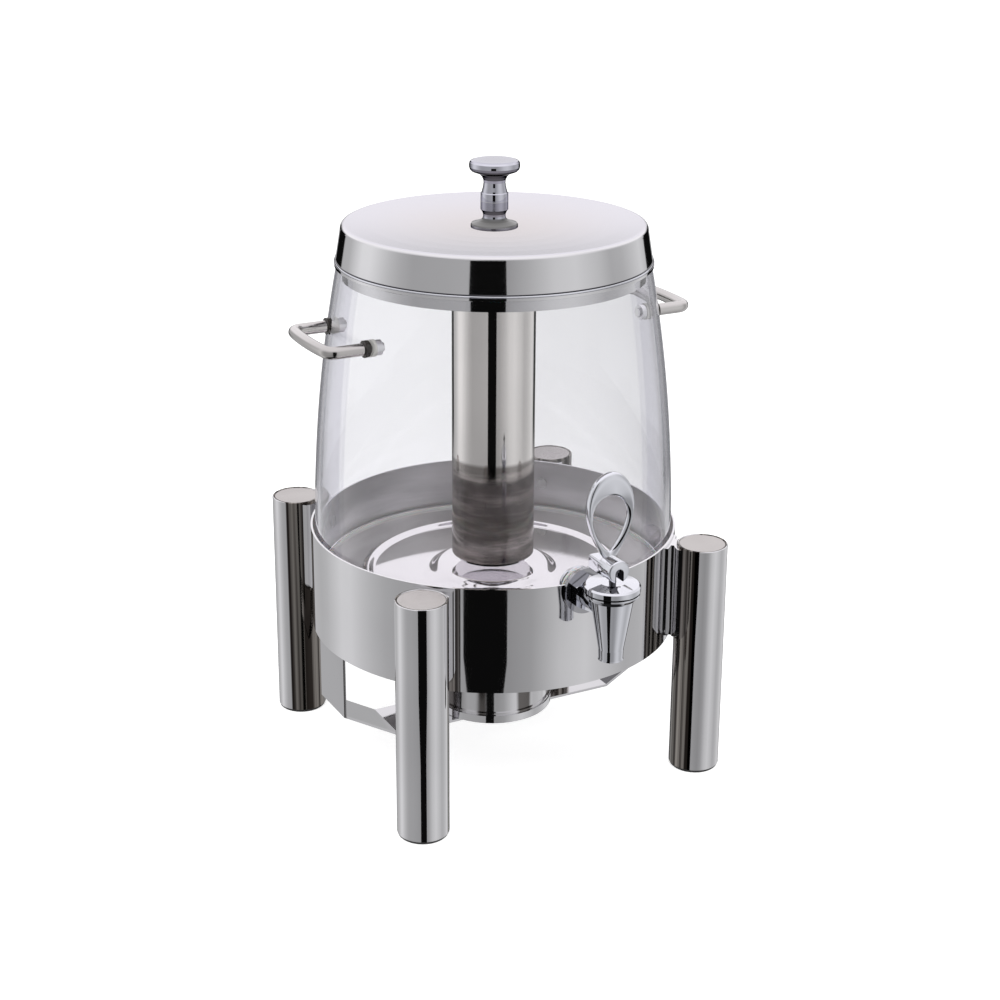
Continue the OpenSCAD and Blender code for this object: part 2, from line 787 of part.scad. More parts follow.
module bonnet() {
    groove = bonnet_z + bonnet_low_h;
    high = groove + bonnet_groove_h;
    brow = high + bonnet_high_h;
    color("silver") spout_axis() difference() {
        rotate_extrude() polygon([
            [0, bonnet_z], [bonnet_low_r, bonnet_z], [bonnet_brow_r, groove - bonnet_edge],
            [bonnet_brow_r, groove], [bonnet_groove_r, groove], [bonnet_groove_r, high],
            [bonnet_brow_r, high], [bonnet_r, high + bonnet_edge / 2], [bonnet_r, brow - bonnet_edge],
            [bonnet_r - bonnet_edge, brow], [bonnet_crown_r, bonnet_top_z], [0, bonnet_top_z]]);
        translate([0, 0, bonnet_z - cut])
            cylinder(r = thread_r + seat_fit, h = body_top_z - bonnet_z + cut + gasket_t);
        translate([0, 0, bonnet_z]) cylinder(r = chamber_r, h = bonnet_top_z - bonnet_plate_t - bonnet_z);
        cylinder(r = stem_r + run_fit, h = bonnet_top_z + cut);
    }
}

module bonnet_gasket() {
    color("white") spout_axis()
        ring(thread_r, chamber_r, body_top_z + run_fit, body_top_z + gasket_t - run_fit);
}

// Soft cup on the stem's foot that closes the seat
module seat_cup() {
    low = seat_z + run_fit;
    color("white") spout_axis() difference() {
        translate([0, 0, low]) cylinder(r = cup_r, h = cup_h);
        translate([0, 0, low + cup_floor_t]) cylinder(r = stem_disc_r + run_fit, h = cup_h);
    }
}

module valve_stem() {
    disc_z = seat_z + run_fit + cup_floor_t + run_fit;
    color("silver") spout_axis() difference() {
        union() {
            translate([0, 0, disc_z]) cylinder(r = stem_disc_r, h = stem_disc_t);
            translate([0, 0, disc_z]) cylinder(r = stem_r, h = pivot_z - disc_z);
            translate([-stem_head_w / 2, -stem_head_l / 2, pivot_z - stem_head_h / 2])
                cube([stem_head_w, stem_head_l, stem_head_h]);
        }
        translate([0, 0, pivot_z]) along_x(-stem_head_w, stem_head_w, pin_r + run_fit);
    }
}

// Outline of the lever's loop in its own plane: an oval drawn in to a point at its foot
function loop_point(t, wide, low, high) =
    [wide / loop_wide_share * sin(t) * (1 - loop_foot_share * pow((1 - cos(t)) / 2, 2)),
     (low + high) / 2 + (high - low) / 2 * cos(t)];

module loop_outline(wide, low, high) {
    polygon([for (i = [0 : loop_steps - 1]) loop_point(i * full_turn / loop_steps, wide, low, high)]);
}

// Side view of the slot under the rocker, open to the front so that the stem clears it at the full pull
module fork_side() {
    nose = rocker_front + rocker_dome + cut;
    floor = -rocker_r - cut;
    polygon([[fork_back, floor], [fork_back, stem_head_h], [-fork_back, stem_head_h],
        [-fork_back, fork_window_h], [-nose, fork_window_h], [-nose, floor]]);
}

module tap_lever() {
    top = loop_foot_z + loop_h;
    color("silver") spout_axis() difference() {
        union() {
            translate([0, 0, pivot_z]) along_y(-rocker_front, rocker_back / 3, rocker_r);
            translate([0, -rocker_front, pivot_z]) rotate([quarter, 0, 0])
                cylinder(r1 = rocker_r, r2 = rocker_r * 0.8, h = rocker_dome);
            translate([-rocker_block_w / 2, 0, pivot_z - rocker_block_down])
                cube([rocker_block_w, rocker_back, rocker_block_down + rocker_block_up]);
            translate([0, loop_set_back + loop_t / 2, 0]) rotate([quarter, 0, 0])
                linear_extrude(height = loop_t) difference() {
                    loop_outline(loop_w / 2, loop_foot_z, top);
                    loop_outline(loop_w / 2 - loop_side, loop_foot_z + loop_sole, top - loop_crown);
                }
        }
        translate([-fork_w / 2, 0, pivot_z]) rotate([quarter, 0, quarter])
            linear_extrude(height = fork_w) fork_side();
        translate([0, 0, pivot_z]) along_x(-rocker_r - cut, rocker_r + cut, pin_r + seat_fit);
    }
}

module lever_pin() {
    color("gray") spout_axis() translate([0, 0, pivot_z])
        along_x(-rocker_block_w / 2, rocker_block_w / 2, pin_r);
}

// Lid
function dish_z(r, edge) = lid_mid_z + lid_dish * pow(r / edge, 2);

module lid_shell() {
    top_r = lid_r - lid_taper;
    edge = top_r - lid_edge_r;
    arc = [for (i = [0 : lid_arc_steps]) let (a = quarter * (1 - i / lid_arc_steps))
        [edge + lid_edge_r * cos(a), lid_top_z - lid_edge_r + lid_edge_r * sin(a)]];
    arc_in = [for (i = [lid_arc_steps : -1 : 0])
        let (a = quarter * (1 - i / lid_arc_steps), r = lid_edge_r - lid_t)
        [edge + r * cos(a), lid_top_z - lid_edge_r + r * sin(a)]];
    dish = [for (i = [0 : dish_steps - 1]) let (r = edge * i / dish_steps) [r, dish_z(r, edge)]];
    dish_in = [for (i = [dish_steps - 1 : -1 : 0])
        let (r = edge * i / dish_steps) [r, dish_z(r, edge) - lid_t]];
    color("silver") difference() {
        rotate_extrude() polygon(concat(dish, arc, [[lid_r, lid_wall_z], [lid_r - lid_t, lid_wall_z]],
            arc_in, dish_in));
        translate([0, 0, lid_mid_z - 2 * lid_t]) cylinder(r = knob_screw_r + seat_fit, h = lid_dish);
    }
}

module lid_collar() {
    color("gainsboro") {
        ring(collar_r, collar_r - lid_t, lid_z - collar_depth, collar_top_z);
        ring(collar_flange_r, collar_r - lid_t / 2, lid_z, lid_z + collar_flange_t);
    }
}

// Half outlines of the knob as shares of its head's radius and of its height
KNOB_HEAD_SHARES = [
    [0, 1], [0.84, 1], [0.93, 0.99], [0.985, 0.965], [1, 0.935], [1, 0.9], [0.97, 0.865], [0.9, 0.838],
    [0.76, 0.818], [0.6, 0.795], [0.5, 0.755], [0.445, 0.71], [0.43, 0.67], [0.45, 0.61], [0.49, 0.55],
    [0.5, 0.525], [0.54, 0.515], [0.545, 0.4], [0, 0.4]
];
KNOB_FOOT_SHARES = [
    [0, 0.395], [0.545, 0.395], [0.545, 0.27], [0.49, 0.24], [0.45, 0.205], [0.44, 0.175], [0.455, 0.145],
    [0.5, 0.12], [0.6, 0.098], [0.75, 0.08], [0.9, 0.064], [0.935, 0.045], [0.935, 0.005], [0, 0.005]
];

module knob_turning(shares) {
    rotate_extrude() polygon([for (p = shares) [p[0] * knob_r, lid_mid_z + p[1] * knob_h]]);
}

module knob_head() {
    color("silver") difference() {
        knob_turning(KNOB_HEAD_SHARES);
        translate([0, 0, lid_mid_z]) cylinder(r = knob_screw_r + run_fit, h = knob_h / 2 + run_fit);
    }
}

module knob_foot() {
    color("silver") difference() {
        knob_turning(KNOB_FOOT_SHARES);
        translate([0, 0, lid_mid_z - cut]) cylinder(r = knob_screw_r + seat_fit, h = knob_h);
    }
}

module knob_screw() {
    low = socket_top_z - socket_t;
    color("gray") {
        translate([0, 0, low - knob_screw_r])
            cylinder(r = knob_screw_r, h = lid_mid_z - low + knob_h / 2);
        translate([0, 0, low - knob_screw_r * 1.2 - run_fit])
            cylinder(r = knob_screw_r * 2, h = knob_screw_r * 1.2);
    }
}

// Cooling tube on its socket under the lid
module lug_places(turn) {
    for (angle = lug_angles) rotate([0, 0, angle + turn]) translate([0, 0, lug_z]) children();
}

module tube_socket() {
    low = socket_top_z - socket_h;
    slot_r = lug_r + slot_gap;
    color("gainsboro") difference() {
        union() {
            translate([0, 0, socket_top_z - socket_t]) cylinder(r = socket_r, h = socket_t - run_fit);
            ring(socket_r, socket_r - socket_t, low, socket_top_z - run_fit);
        }
        translate([0, 0, low]) cylinder(r = knob_screw_r + seat_fit, h = socket_h + cut);
        lug_places(0) along_x(socket_r / 2, socket_r + cut, slot_r);
        lug_places(slot_turn) along_x(socket_r / 2, socket_r + cut, slot_r);
        lug_places(0) translate([0, 0, -slot_r])
            rotate_extrude(angle = slot_turn) translate([socket_r / 2, 0]) square([socket_r, 2 * slot_r]);
        lug_places(slot_turn) translate([socket_r / 2, -slot_r, low - lug_z - cut])
            cube([socket_r, 2 * slot_r, lug_z - low + cut]);
    }
}

module cooling_tube() {
    color("silver") ring(tube_r, tube_ri, tube_z + tube_bevel, tube_top_z);
}

module tube_floor() {
    color("silver") translate([0, 0, tube_z]) difference() {
        union() {
            cylinder(r1 = tube_r - tube_bevel, r2 = tube_r, h = tube_bevel);
            translate([0, 0, tube_bevel]) cylinder(r = tube_ri - run_fit, h = tube_bevel);
        }
        translate([0, 0, tube_wall]) cylinder(r = tube_ri - 2 * tube_wall, h = 2 * tube_bevel);
    }
}

module tube_lugs() {
    color("gray") intersection() {
        lug_places(0) along_x(tube_ri - lug_l, tube_r, lug_r);
        cylinder(r = tube_ri - run_fit, h = lid_top_z);
    }
}

band();
support_ring();
shelf_strap();
leg(front_left_angle);  // leg_front_left
leg(front_right_angle);  // leg_front_right
leg(rear_left_angle);  // leg_rear_left
leg(rear_right_angle);  // leg_rear_right
leg_cap(front_left_angle);  // leg_cap_front_left
leg_cap(front_right_angle);  // leg_cap_front_right
leg_cap(rear_left_angle);  // leg_cap_rear_left
leg_cap(rear_right_angle);  // leg_cap_rear_right
foot(front_left_angle);  // foot_front_left
foot(front_right_angle);  // foot_front_right
foot(rear_left_angle);  // foot_rear_left
foot(rear_right_angle);  // foot_rear_right
bracket(front_left_angle);  // bracket_front_left
bracket(front_right_angle);  // bracket_front_right
bracket(rear_left_angle);  // bracket_rear_left
bracket(rear_right_angle);  // bracket_rear_right
bracket_screws();
leg_nuts();
burner_cup();
burner_base();
fuel_can();
burner_cover();
cover_pin();
cover_knob();
barrel();
floor_pan();
pan_seal();
handle_left();
handle_right();
handle_outer_washers();
handle_inner_washers();
handle_nuts();
tap_body();
tap_outer_gasket();
tap_washer();
tap_outer_nut();
tap_inner_gasket();
tap_inner_nut();
bonnet();
bonnet_gasket();
seat_cup();
valve_stem();
tap_lever();
lever_pin();
lid_shell();
lid_collar();
knob_head();
knob_foot();
knob_screw();
tube_socket();
cooling_tube();
tube_floor();
tube_lugs();
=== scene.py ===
"""Looks for the drink dispenser: finishes, turned and bent pieces, the studio and the camera.

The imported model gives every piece's place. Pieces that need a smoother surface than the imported
mesh are built here in the same place and ride on the same body. Sizes of pieces are in
millimetres; patterns, the studio and the camera are in metres.
"""

import json
import logging
import math
from dataclasses import dataclass, field
from enum import Enum
from typing import Callable, NamedTuple

import bmesh
import bpy
from mathutils import Matrix, Quaternion, Vector

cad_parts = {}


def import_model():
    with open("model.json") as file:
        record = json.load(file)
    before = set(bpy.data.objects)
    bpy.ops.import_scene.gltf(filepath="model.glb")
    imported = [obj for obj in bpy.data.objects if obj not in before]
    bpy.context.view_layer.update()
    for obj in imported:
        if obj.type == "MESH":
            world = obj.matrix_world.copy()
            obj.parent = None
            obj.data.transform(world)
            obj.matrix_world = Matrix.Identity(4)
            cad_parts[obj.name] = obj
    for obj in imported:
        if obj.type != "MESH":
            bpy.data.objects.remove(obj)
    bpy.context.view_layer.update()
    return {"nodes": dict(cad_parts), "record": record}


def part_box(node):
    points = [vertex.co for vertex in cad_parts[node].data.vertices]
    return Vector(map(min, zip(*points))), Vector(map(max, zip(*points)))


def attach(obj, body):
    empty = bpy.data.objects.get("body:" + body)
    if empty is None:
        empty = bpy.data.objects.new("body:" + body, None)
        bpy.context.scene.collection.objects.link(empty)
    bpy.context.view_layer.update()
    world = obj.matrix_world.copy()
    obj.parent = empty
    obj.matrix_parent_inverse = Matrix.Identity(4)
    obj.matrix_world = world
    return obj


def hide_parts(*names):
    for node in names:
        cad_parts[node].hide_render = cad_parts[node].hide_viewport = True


LOG = logging.getLogger("dispenser")
MM = 0.001
SMOOTH_DEG = 32.0
TURN_STEPS = 192
ROD_STEPS = 64
ROUNDING_STEPS = 4
AXIS_MERGE = 1e-7
SEAM_MERGE = 1e-6
# Values of a noise between which a finish's tint and its polish change.
TINT_RANGE = (0.35, 0.65)
POLISH_RANGE = (0.3, 0.7)

Point = tuple[float, float]
Triple = tuple[float, float, float]
Colour = tuple[float, float, float, float]
Socket = bpy.types.NodeSocket


class Body(Enum):
    """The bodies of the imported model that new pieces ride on."""

    VESSEL = "vessel"
    LEVER = "tap_lever"
    LID = "lid"


class Corner(NamedTuple):
    """A place or a size along X, Y and Z, in millimetres."""

    x: float
    y: float
    z: float


@dataclass(frozen=True)
class Box:
    """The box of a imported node."""

    low: Corner
    high: Corner

    @classmethod
    def of(cls, node: str) -> "Box":
        """Reads a node's box from the frame, without what lies past its single precision.

        Args:
            node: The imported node's name.

        Returns:
            The box.
        """
        return cls(*(Corner(*(round(part / MM, 3) for part in corner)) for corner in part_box(node)))

    @property
    def middle(self) -> Corner:
        """The box's middle."""
        return Corner(*(round((low + high) / 2, 3) for low, high in zip(self.low, self.high)))

    @property
    def size(self) -> Corner:
        """The box's length along each axis."""
        return Corner(*(round(high - low, 3) for low, high in zip(self.low, self.high)))


def box_of(node: str) -> Box:
    """Declares an assembly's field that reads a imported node's box when the assembly is made."""
    return field(default_factory=lambda: Box.of(node))


def colour(red: float, green: float, blue: float) -> Colour:
    """Gives an opaque colour."""
    return (red, green, blue, 1.0)


def grey(level: float) -> Colour:
    """Gives an opaque grey."""
    return colour(level, level, level)


def scaled(shade: Colour, share: float) -> Colour:
    """Gives a colour made lighter or darker by a share."""
    return colour(*(part * share for part in shade[:3]))


class NodeKit:
    """Small helper that adds and links shader nodes in one tree."""

    def __init__(self, tree: bpy.types.NodeTree) -> None:
        """Clears the tree and keeps it.

        Args:
            tree: The node tree to build in.
        """
        self.tree = tree
        tree.nodes.clear()

    def add(self, kind: str, **values: object) -> bpy.types.Node:
        """Adds a node and sets its properties.

        Args:
            kind: The node's type name.
            **values: Properties of the node.

        Returns:
            The new node.
        """
        node = self.tree.nodes.new(kind)
        for name, value in values.items():
            setattr(node, name, value)
        return node

    def metal(self) -> bpy.types.Node:
        """Adds a shader that is metal all over.

        Returns:
            The shader's node.
        """
        shader = self.add("ShaderNodeBsdfPrincipled")
        shader.inputs["Metallic"].default_value = 1.0
        return shader

    def link(self, source: Socket, target: Socket) -> None:
        """Links one socket to another."""
        self.tree.links.new(source, target)

    def feed(self, value: object, socket: Socket) -> None:
        """Links a socket, or sets a plain value.

        Args:
            value: A node socket, a number or a colour.
            socket: The input to fill.
        """
        if isinstance(value, Socket):
            self.link(value, socket)
        else:
            socket.default_value = value

    def maths(self, operation: str, *terms: object, clamp: bool = False) -> Socket:
        """Adds a Math node.

        Args:
            operation: The operation's name.
            *terms: Sockets or numbers.
            clamp: Whether the result stays between 0 and 1.

        Returns:
            The result's socket.
        """
        node = self.add("ShaderNodeMath", operation=operation, use_clamp=clamp)
        for term, socket in zip(terms, node.inputs):
            self.feed(term, socket)
        return node.outputs[0]

    def vector(self, operation: str, *terms: object) -> bpy.types.Node:
        """Adds a Vector Math node.

        Args:
            operation: The operation's name.
            *terms: Sockets or vectors.

        Returns:
            The new node.
        """
        node = self.add("ShaderNodeVectorMath", operation=operation)
        for term, socket in zip(terms, node.inputs):
            self.feed(term, socket)
        return node

    def span(self, value: object, source: Point, result: Point = (0.0, 1.0)) -> Socket:
        """Maps a value smoothly from one range to another.

        Args:
            value: The socket to map.
            source: The inputs that give the ends of the result.
            result: First and last output.

        Returns:
            The mapped value's socket.
        """
        node = self.add("ShaderNodeMapRange", interpolation_type="SMOOTHSTEP")
        self.feed(value, node.inputs["Value"])
        for name, number in zip(("From Min", "From Max", "To Min", "To Max"), source + result):
            node.inputs[name].default_value = number
        return node.outputs["Result"]

    def blend(self, factor: object, first: object, second: object) -> Socket:
        """Mixes two colours.

        Args:
            factor: Share of the second colour.
            first: A colour or a socket.
            second: A colour or a socket.

        Returns:
            The mixed colour's socket.
        """
        node = self.add("ShaderNodeMix", data_type="RGBA")
        colour_inputs = [socket for socket in node.inputs if socket.type == "RGBA"]
        self.feed(factor, node.inputs[0])
        self.feed(first, colour_inputs[0])
        self.feed(second, colour_inputs[1])
        return next(socket for socket in node.outputs if socket.type == "RGBA")

    def mix(self, factor: Socket, first: Socket, second: Socket) -> Socket:
        """Mixes two shaders.

        Args:
            factor: Share of the second shader.
            first: A shader's output.
            second: A shader's output.

        Returns:
            The mixed shader's output.
        """
        node = self.add("ShaderNodeMixShader")
        for source, target in zip((factor, first, second), node.inputs):
            self.link(source, target)
        return node.outputs["Shader"]

    def ramp(self, value: Socket, stops: tuple[tuple[float, Triple], ...]) -> Socket:
        """Adds a colour ramp.

        Args:
            value: What picks the colour.
            stops: Places from 0 to 1, each with a colour.

        Returns:
            The colour's socket.
        """
        node = self.add("ShaderNodeValToRGB")
        elements = node.color_ramp.elements
        given = len(elements)
        for index, (place, shade) in enumerate(stops):
            stop = elements[index] if index < given else elements.new(place)
            stop.position = place
            stop.color = colour(*shade)
        self.link(value, node.inputs["Fac"])
        return node.outputs["Color"]

    def noise(self, scale: Triple, detail: float = 3.0) -> Socket:
        """Adds a noise pattern on object coordinates.

        Args:
            scale: Pattern repeats per metre along X, Y and Z.
            detail: Octaves of the noise.

        Returns:
            The pattern's value, about 0.5 on average.
        """
        mapping = self.add("ShaderNodeMapping")
        mapping.inputs["Scale"].default_value = scale
        self.link(self.place(), mapping.inputs["Vector"])
        pattern = self.add("ShaderNodeTexNoise")
        pattern.inputs["Scale"].default_value = 1.0
        pattern.inputs["Detail"].default_value = detail
        self.link(mapping.outputs["Vector"], pattern.inputs["Vector"])
        return pattern.outputs["Fac"]

    def bump(self, height: Socket, strength: float, distance: float) -> Socket:
        """Adds a Bump node.

        Args:
            height: The height pattern.
            strength: How strongly it shows.
            distance: Height of the relief in metres.

        Returns:
            The bumped normal.
        """
        node = self.add("ShaderNodeBump")
        node.inputs["Strength"].default_value = strength
        node.inputs["Distance"].default_value = distance
        self.link(height, node.inputs["Height"])
        return node.outputs["Normal"]

    def place(self) -> Socket:
        """Gives the shaded point in the piece's own coordinates."""
        return self.add("ShaderNodeTexCoord").outputs["Object"]

    def normal(self, kind: str = "Normal") -> Socket:
        """Gives the way that the surface faces; "True Normal" leaves its smoothing out."""
        return self.add("ShaderNodeNewGeometry").outputs[kind]

    def upright(self, source: Socket) -> Socket:
        """Gives a vector's upright part.

        Args:
            source: The vector's socket.

        Returns:
            The socket of its Z.
        """
        axes = self.add("ShaderNodeSeparateXYZ")
        self.link(source, axes.inputs[0])
        return axes.outputs[2]

    def outward(self) -> Socket:
        """Gives the level way from the dispenser's upright axis to the shaded point."""
        return self.vector("MULTIPLY", self.place(), (1.0, 1.0, 0.0)).outputs["Vector"]


def mirrored_ray(kit: NodeKit, path: bpy.types.Node) -> Socket:
    """Tells rays that a glossy face has mirrored from those that a clear wall let through.

    Args:
        kit: Where to build.
        path: The tree's Light Path node.

    Returns:
        1 for a mirrored ray, 0 for any other.
    """
    passed = kit.maths("SUBTRACT", 1.0, path.outputs["Is Transmission Ray"])
    return kit.maths("MULTIPLY", path.outputs["Is Glossy Ray"], passed)


@dataclass(frozen=True)
class Finish:
    """A finish that pieces are dressed in."""

    name: str

    def surface(self, kit: NodeKit) -> Socket:
        """Builds the finish's shader and gives its output. Each kind of finish has its own."""
        raise NotImplementedError

    def make(self) -> bpy.types.Material:
        """Gives the finish's material, built on first use.

        Returns:
            The material.
        """
        known = bpy.data.materials.get(self.name)
        if known is not None:
            return known
        material = bpy.data.materials.new(self.name)
        material.use_nodes = True
        kit = NodeKit(material.node_tree)
        output = kit.add("ShaderNodeOutputMaterial")
        kit.link(self.surface(kit), output.inputs["Surface"])
        return material

    def dress(self, piece: bpy.types.Object) -> bpy.types.Object:
        """Puts the finish on a piece in place of what it had.

        Args:
            piece: The piece to dress.

        Returns:
            The same piece.
        """
        piece.data.materials.clear()
        piece.data.materials.append(self.make())
        return piece


@dataclass(frozen=True)
class Metal(Finish):
    """Bare or plated metal with cloudy tint, uneven polish, slight waves and a grain.

    Painted shade darkens crevices and gaps between parts up to a given depth, and painted
    shade darkens what looks down. What is seen along its surface can be darker too, a painted outline.
    """

    base: Colour = colour(0.79, 0.785, 0.8)
    shade: Colour = colour(0.75, 0.745, 0.76)
    rough: Point = (0.03, 0.07)
    cloud_scale: float = 9.0
    wave: float = 0.000006
    wave_scale: float = 18.0
    grain: float = 0.0
    grain_scale: Triple = (40.0, 40.0, 1600.0)
    # Painted shade in crevices: depth, range and samples of the ambient occlusion, and its dark colour.
    painted_crevice_depth: float = 0.0
    painted_crevice_range: Point = (0.3, 0.75)
    painted_crevice_samples: int = 8
    painted_crevice_colour: Colour = colour(0.02, 0.02, 0.025)
    # Painted shade on faces that look down: the share of colour they keep, the normal heights it spans,
    # and its dark colour.
    under: float = 1.0
    painted_underside_range: Point = (-0.45, -0.04)
    painted_underside_colour: Colour = colour(0.02, 0.02, 0.022)
    edge: float = 1.0

    def surface(self, kit: NodeKit) -> Socket:
        """Builds the metal.

        Args:
            kit: Where to build.

        Returns:
            The shader's output.
        """
        shader = kit.metal()
        # Edge tint: below 1 it paints a darker outline where the surface is seen along it.
        shader.inputs["Specular Tint"].default_value = grey(self.edge)
        clouds = kit.noise((self.cloud_scale,) * 3)
        tint = kit.blend(kit.span(clouds, TINT_RANGE), self.base, self.shade)
        # Painted shade: ambient occlusion darkens the tint in crevices and gaps between parts.
        if self.painted_crevice_depth > 0.0:
            open_share = kit.add("ShaderNodeAmbientOcclusion", samples=self.painted_crevice_samples)
            open_share.inputs["Distance"].default_value = self.painted_crevice_depth
            open_part = kit.span(open_share.outputs["AO"], self.painted_crevice_range)
            tint = kit.blend(open_part, self.painted_crevice_colour, tint)
        # Painted shade: faces that look down are darkened by their normal's height.
        if self.under < 1.0:
            lit_part = kit.span(kit.upright(kit.normal()), self.painted_underside_range, (self.under, 1.0))
            tint = kit.blend(lit_part, self.painted_underside_colour, tint)
        kit.link(tint, shader.inputs["Base Color"])
        kit.link(kit.span(clouds, POLISH_RANGE, self.rough), shader.inputs["Roughness"])
        height = kit.noise((self.wave_scale,) * 3, detail=1.0)
        if self.grain > 0.0:
            lines = kit.noise(self.grain_scale, detail=2.0)
            height = kit.maths("ADD", height, kit.maths("MULTIPLY", lines, self.grain))
        kit.link(kit.bump(height, strength=1.0, distance=self.wave), shader.inputs["Normal"])
        return shader.outputs["BSDF"]


@dataclass(frozen=True)
class Moulded(Finish):
    """Rubber, silicone, moulded plastic or paint: an opaque skin with fine texture."""

    base: Colour = colour(0.03, 0.03, 0.03)
    shade: Colour = colour(0.05, 0.05, 0.05)
    rough: float = 0.6
    gloss_share: float = 0.85
    cloud_scale: float = 60.0
    texture: float = 0.0001
    texture_scale: float = 900.0
    texture_strength: float = 0.4
    soft: float = 0.0
    soft_depth: float = 0.002

    def surface(self, kit: NodeKit) -> Socket:
        """Builds a plain skin with mottled colour and fine bumps.

        Args:
            kit: Where to build.

        Returns:
            The shader's output.
        """
        shader = kit.add("ShaderNodeBsdfPrincipled")
        clouds = kit.noise((self.cloud_scale,) * 3)
        tint = kit.blend(kit.span(clouds, TINT_RANGE), self.base, self.shade)
        kit.link(tint, shader.inputs["Base Color"])
        rough = kit.span(clouds, POLISH_RANGE, (self.rough * self.gloss_share, self.rough))
        kit.link(rough, shader.inputs["Roughness"])
        shader.inputs["Subsurface Weight"].default_value = self.soft
        shader.inputs["Subsurface Scale"].default_value = self.soft_depth
        pattern = kit.noise((self.texture_scale,) * 3)
        skin = kit.bump(pattern, self.texture_strength, self.texture)
        kit.link(skin, shader.inputs["Normal"])
        return shader.outputs["BSDF"]


@dataclass(frozen=True)
class ClearPlastic(Finish):
    """Clear moulded plastic. Light for shadows, and rays that a metal mirrors, pass straight through."""

    painted_edge_shades: tuple[tuple[float, Triple], ...] = (
        (0.0, (0.91, 0.91, 0.925)),
        (0.515, (0.9, 0.9, 0.92)),
        (0.53, (0.71, 0.705, 0.765)),
        (0.78, (0.72, 0.715, 0.78)),
        (0.83, (0.4, 0.4, 0.46)),
        (0.88, (0.5, 0.5, 0.57)),
        (1.0, (0.08, 0.08, 0.12)),
    )
    index: float = 1.49
    flow: float = 0.00002
    flow_scale: Triple = (22.0, 22.0, 12.0)
    flow_strength: float = 0.5

    def surface(self, kit: NodeKit) -> Socket:
        """Builds clear plastic whose colour darkens where the view runs along its wall, a painted shade
        and reflection at its edges.

        Args:
            kit: Where to build.

        Returns:
            The shader's output.
        """
        shader = kit.add("ShaderNodeBsdfPrincipled")
        # Painted shade and reflection: the colour turns lavender, then dark, where the wall is seen
        # edge-on.
        slant = kit.add("ShaderNodeLayerWeight")
        slant.inputs["Blend"].default_value = 0.5
        kit.link(kit.ramp(slant.outputs["Facing"], self.painted_edge_shades), shader.inputs["Base Color"])
        shader.inputs["Transmission Weight"].default_value = 1.0
        shader.inputs["Roughness"].default_value = 0.0
        shader.inputs["IOR"].default_value = self.index
        waves = kit.noise(self.flow_scale, detail=1.0)
        kit.link(kit.bump(waves, self.flow_strength, self.flow), shader.inputs["Normal"])
        through = kit.add("ShaderNodeBsdfTransparent")
        path = kit.add("ShaderNodeLightPath")
        lamps = kit.maths("MAXIMUM", path.outputs["Is Shadow Ray"], path.outputs["Is Diffuse Ray"])
        straight = kit.maths("MAXIMUM", lamps, mirrored_ray(kit, path))
        return kit.mix(straight, shader.outputs["BSDF"], through.outputs["BSDF"])


@dataclass(frozen=True)
class HoopSteel(Metal):
    """A polished hoop whose inner face is left satin and a little darker."""

    inner: Colour = colour(0.62, 0.61, 0.615)
    inner_fade: float = 0.8
    inner_rough: Point = (0.34, 0.408)
    inner_scale: Triple = (14.0, 14.0, 60.0)
    brush_scale: Triple = (30.0, 30.0, 900.0)
    brush_strength: float = 0.5
    brush_height: float = 0.00002
    inward_from: float = -0.02

    def surface(self, kit: NodeKit) -> Socket:
        """Builds the outer polish and the inner satin, told apart by which way the wall faces.

        Args:
            kit: Where to build.

        Returns:
            The shader's output.
        """
        outer = super().surface(kit)
        shader = kit.metal()
        clouds = kit.noise(self.inner_scale)
        share = kit.span(clouds, POLISH_RANGE)
        tint = kit.blend(share, self.inner, scaled(self.inner, self.inner_fade))
        kit.link(tint, shader.inputs["Base Color"])
        rough = kit.span(clouds, POLISH_RANGE, self.inner_rough)
        kit.link(rough, shader.inputs["Roughness"])
        lines = kit.noise(self.brush_scale)
        brushed = kit.bump(lines, self.brush_strength, self.brush_height)
        kit.link(brushed, shader.inputs["Normal"])
        facing = kit.vector("DOT_PRODUCT", kit.outward(), kit.normal("True Normal"))
        inward = kit.maths("LESS_THAN", facing.outputs["Value"], self.inward_from)
        return kit.mix(inward, outer, shader.outputs["BSDF"])


@dataclass(frozen=True)
class PostSteel(Metal):
    """A polished post whose side toward the dispenser's middle is darker, in upright streaks of painted
    reflection.
    """

    # Painted reflection: the dark and the lighter colour of the streaks on the inward side.
    deep: Colour = colour(0.03, 0.025, 0.022)
    reflection_pale: Colour = colour(0.34, 0.315, 0.29)
    streak_scale: Triple = (260.0, 260.0, 0.8)
    streak_range: Point = (0.42, 0.62)
    streak_rough: Point = (0.05, 0.1)
    turned_range: Point = (0.14, 0.2)

    def surface(self, kit: NodeKit) -> Socket:
        """Builds the open side's polish and the inward side's streaks of painted reflection, told apart by
        the facing.

        Args:
            kit: Where to build.

        Returns:
            The shader's output.
        """
        outer = super().surface(kit)
        # Painted reflection: darker upright streaks on the side that faces the middle.
        shader = kit.metal()
        streaks = kit.noise(self.streak_scale, detail=2.0)
        tint = kit.blend(kit.span(streaks, self.streak_range), self.deep, self.reflection_pale)
        kit.link(tint, shader.inputs["Base Color"])
        rough = kit.span(streaks, POLISH_RANGE, self.streak_rough)
        kit.link(rough, shader.inputs["Roughness"])
        away = kit.vector("NORMALIZE", kit.outward())
        facing = kit.vector("DOT_PRODUCT", away.outputs["Vector"], kit.normal())
        inward = kit.span(facing.outputs["Value"], self.turned_range, (1.0, 0.0))
        return kit.mix(inward, outer, shader.outputs["BSDF"])


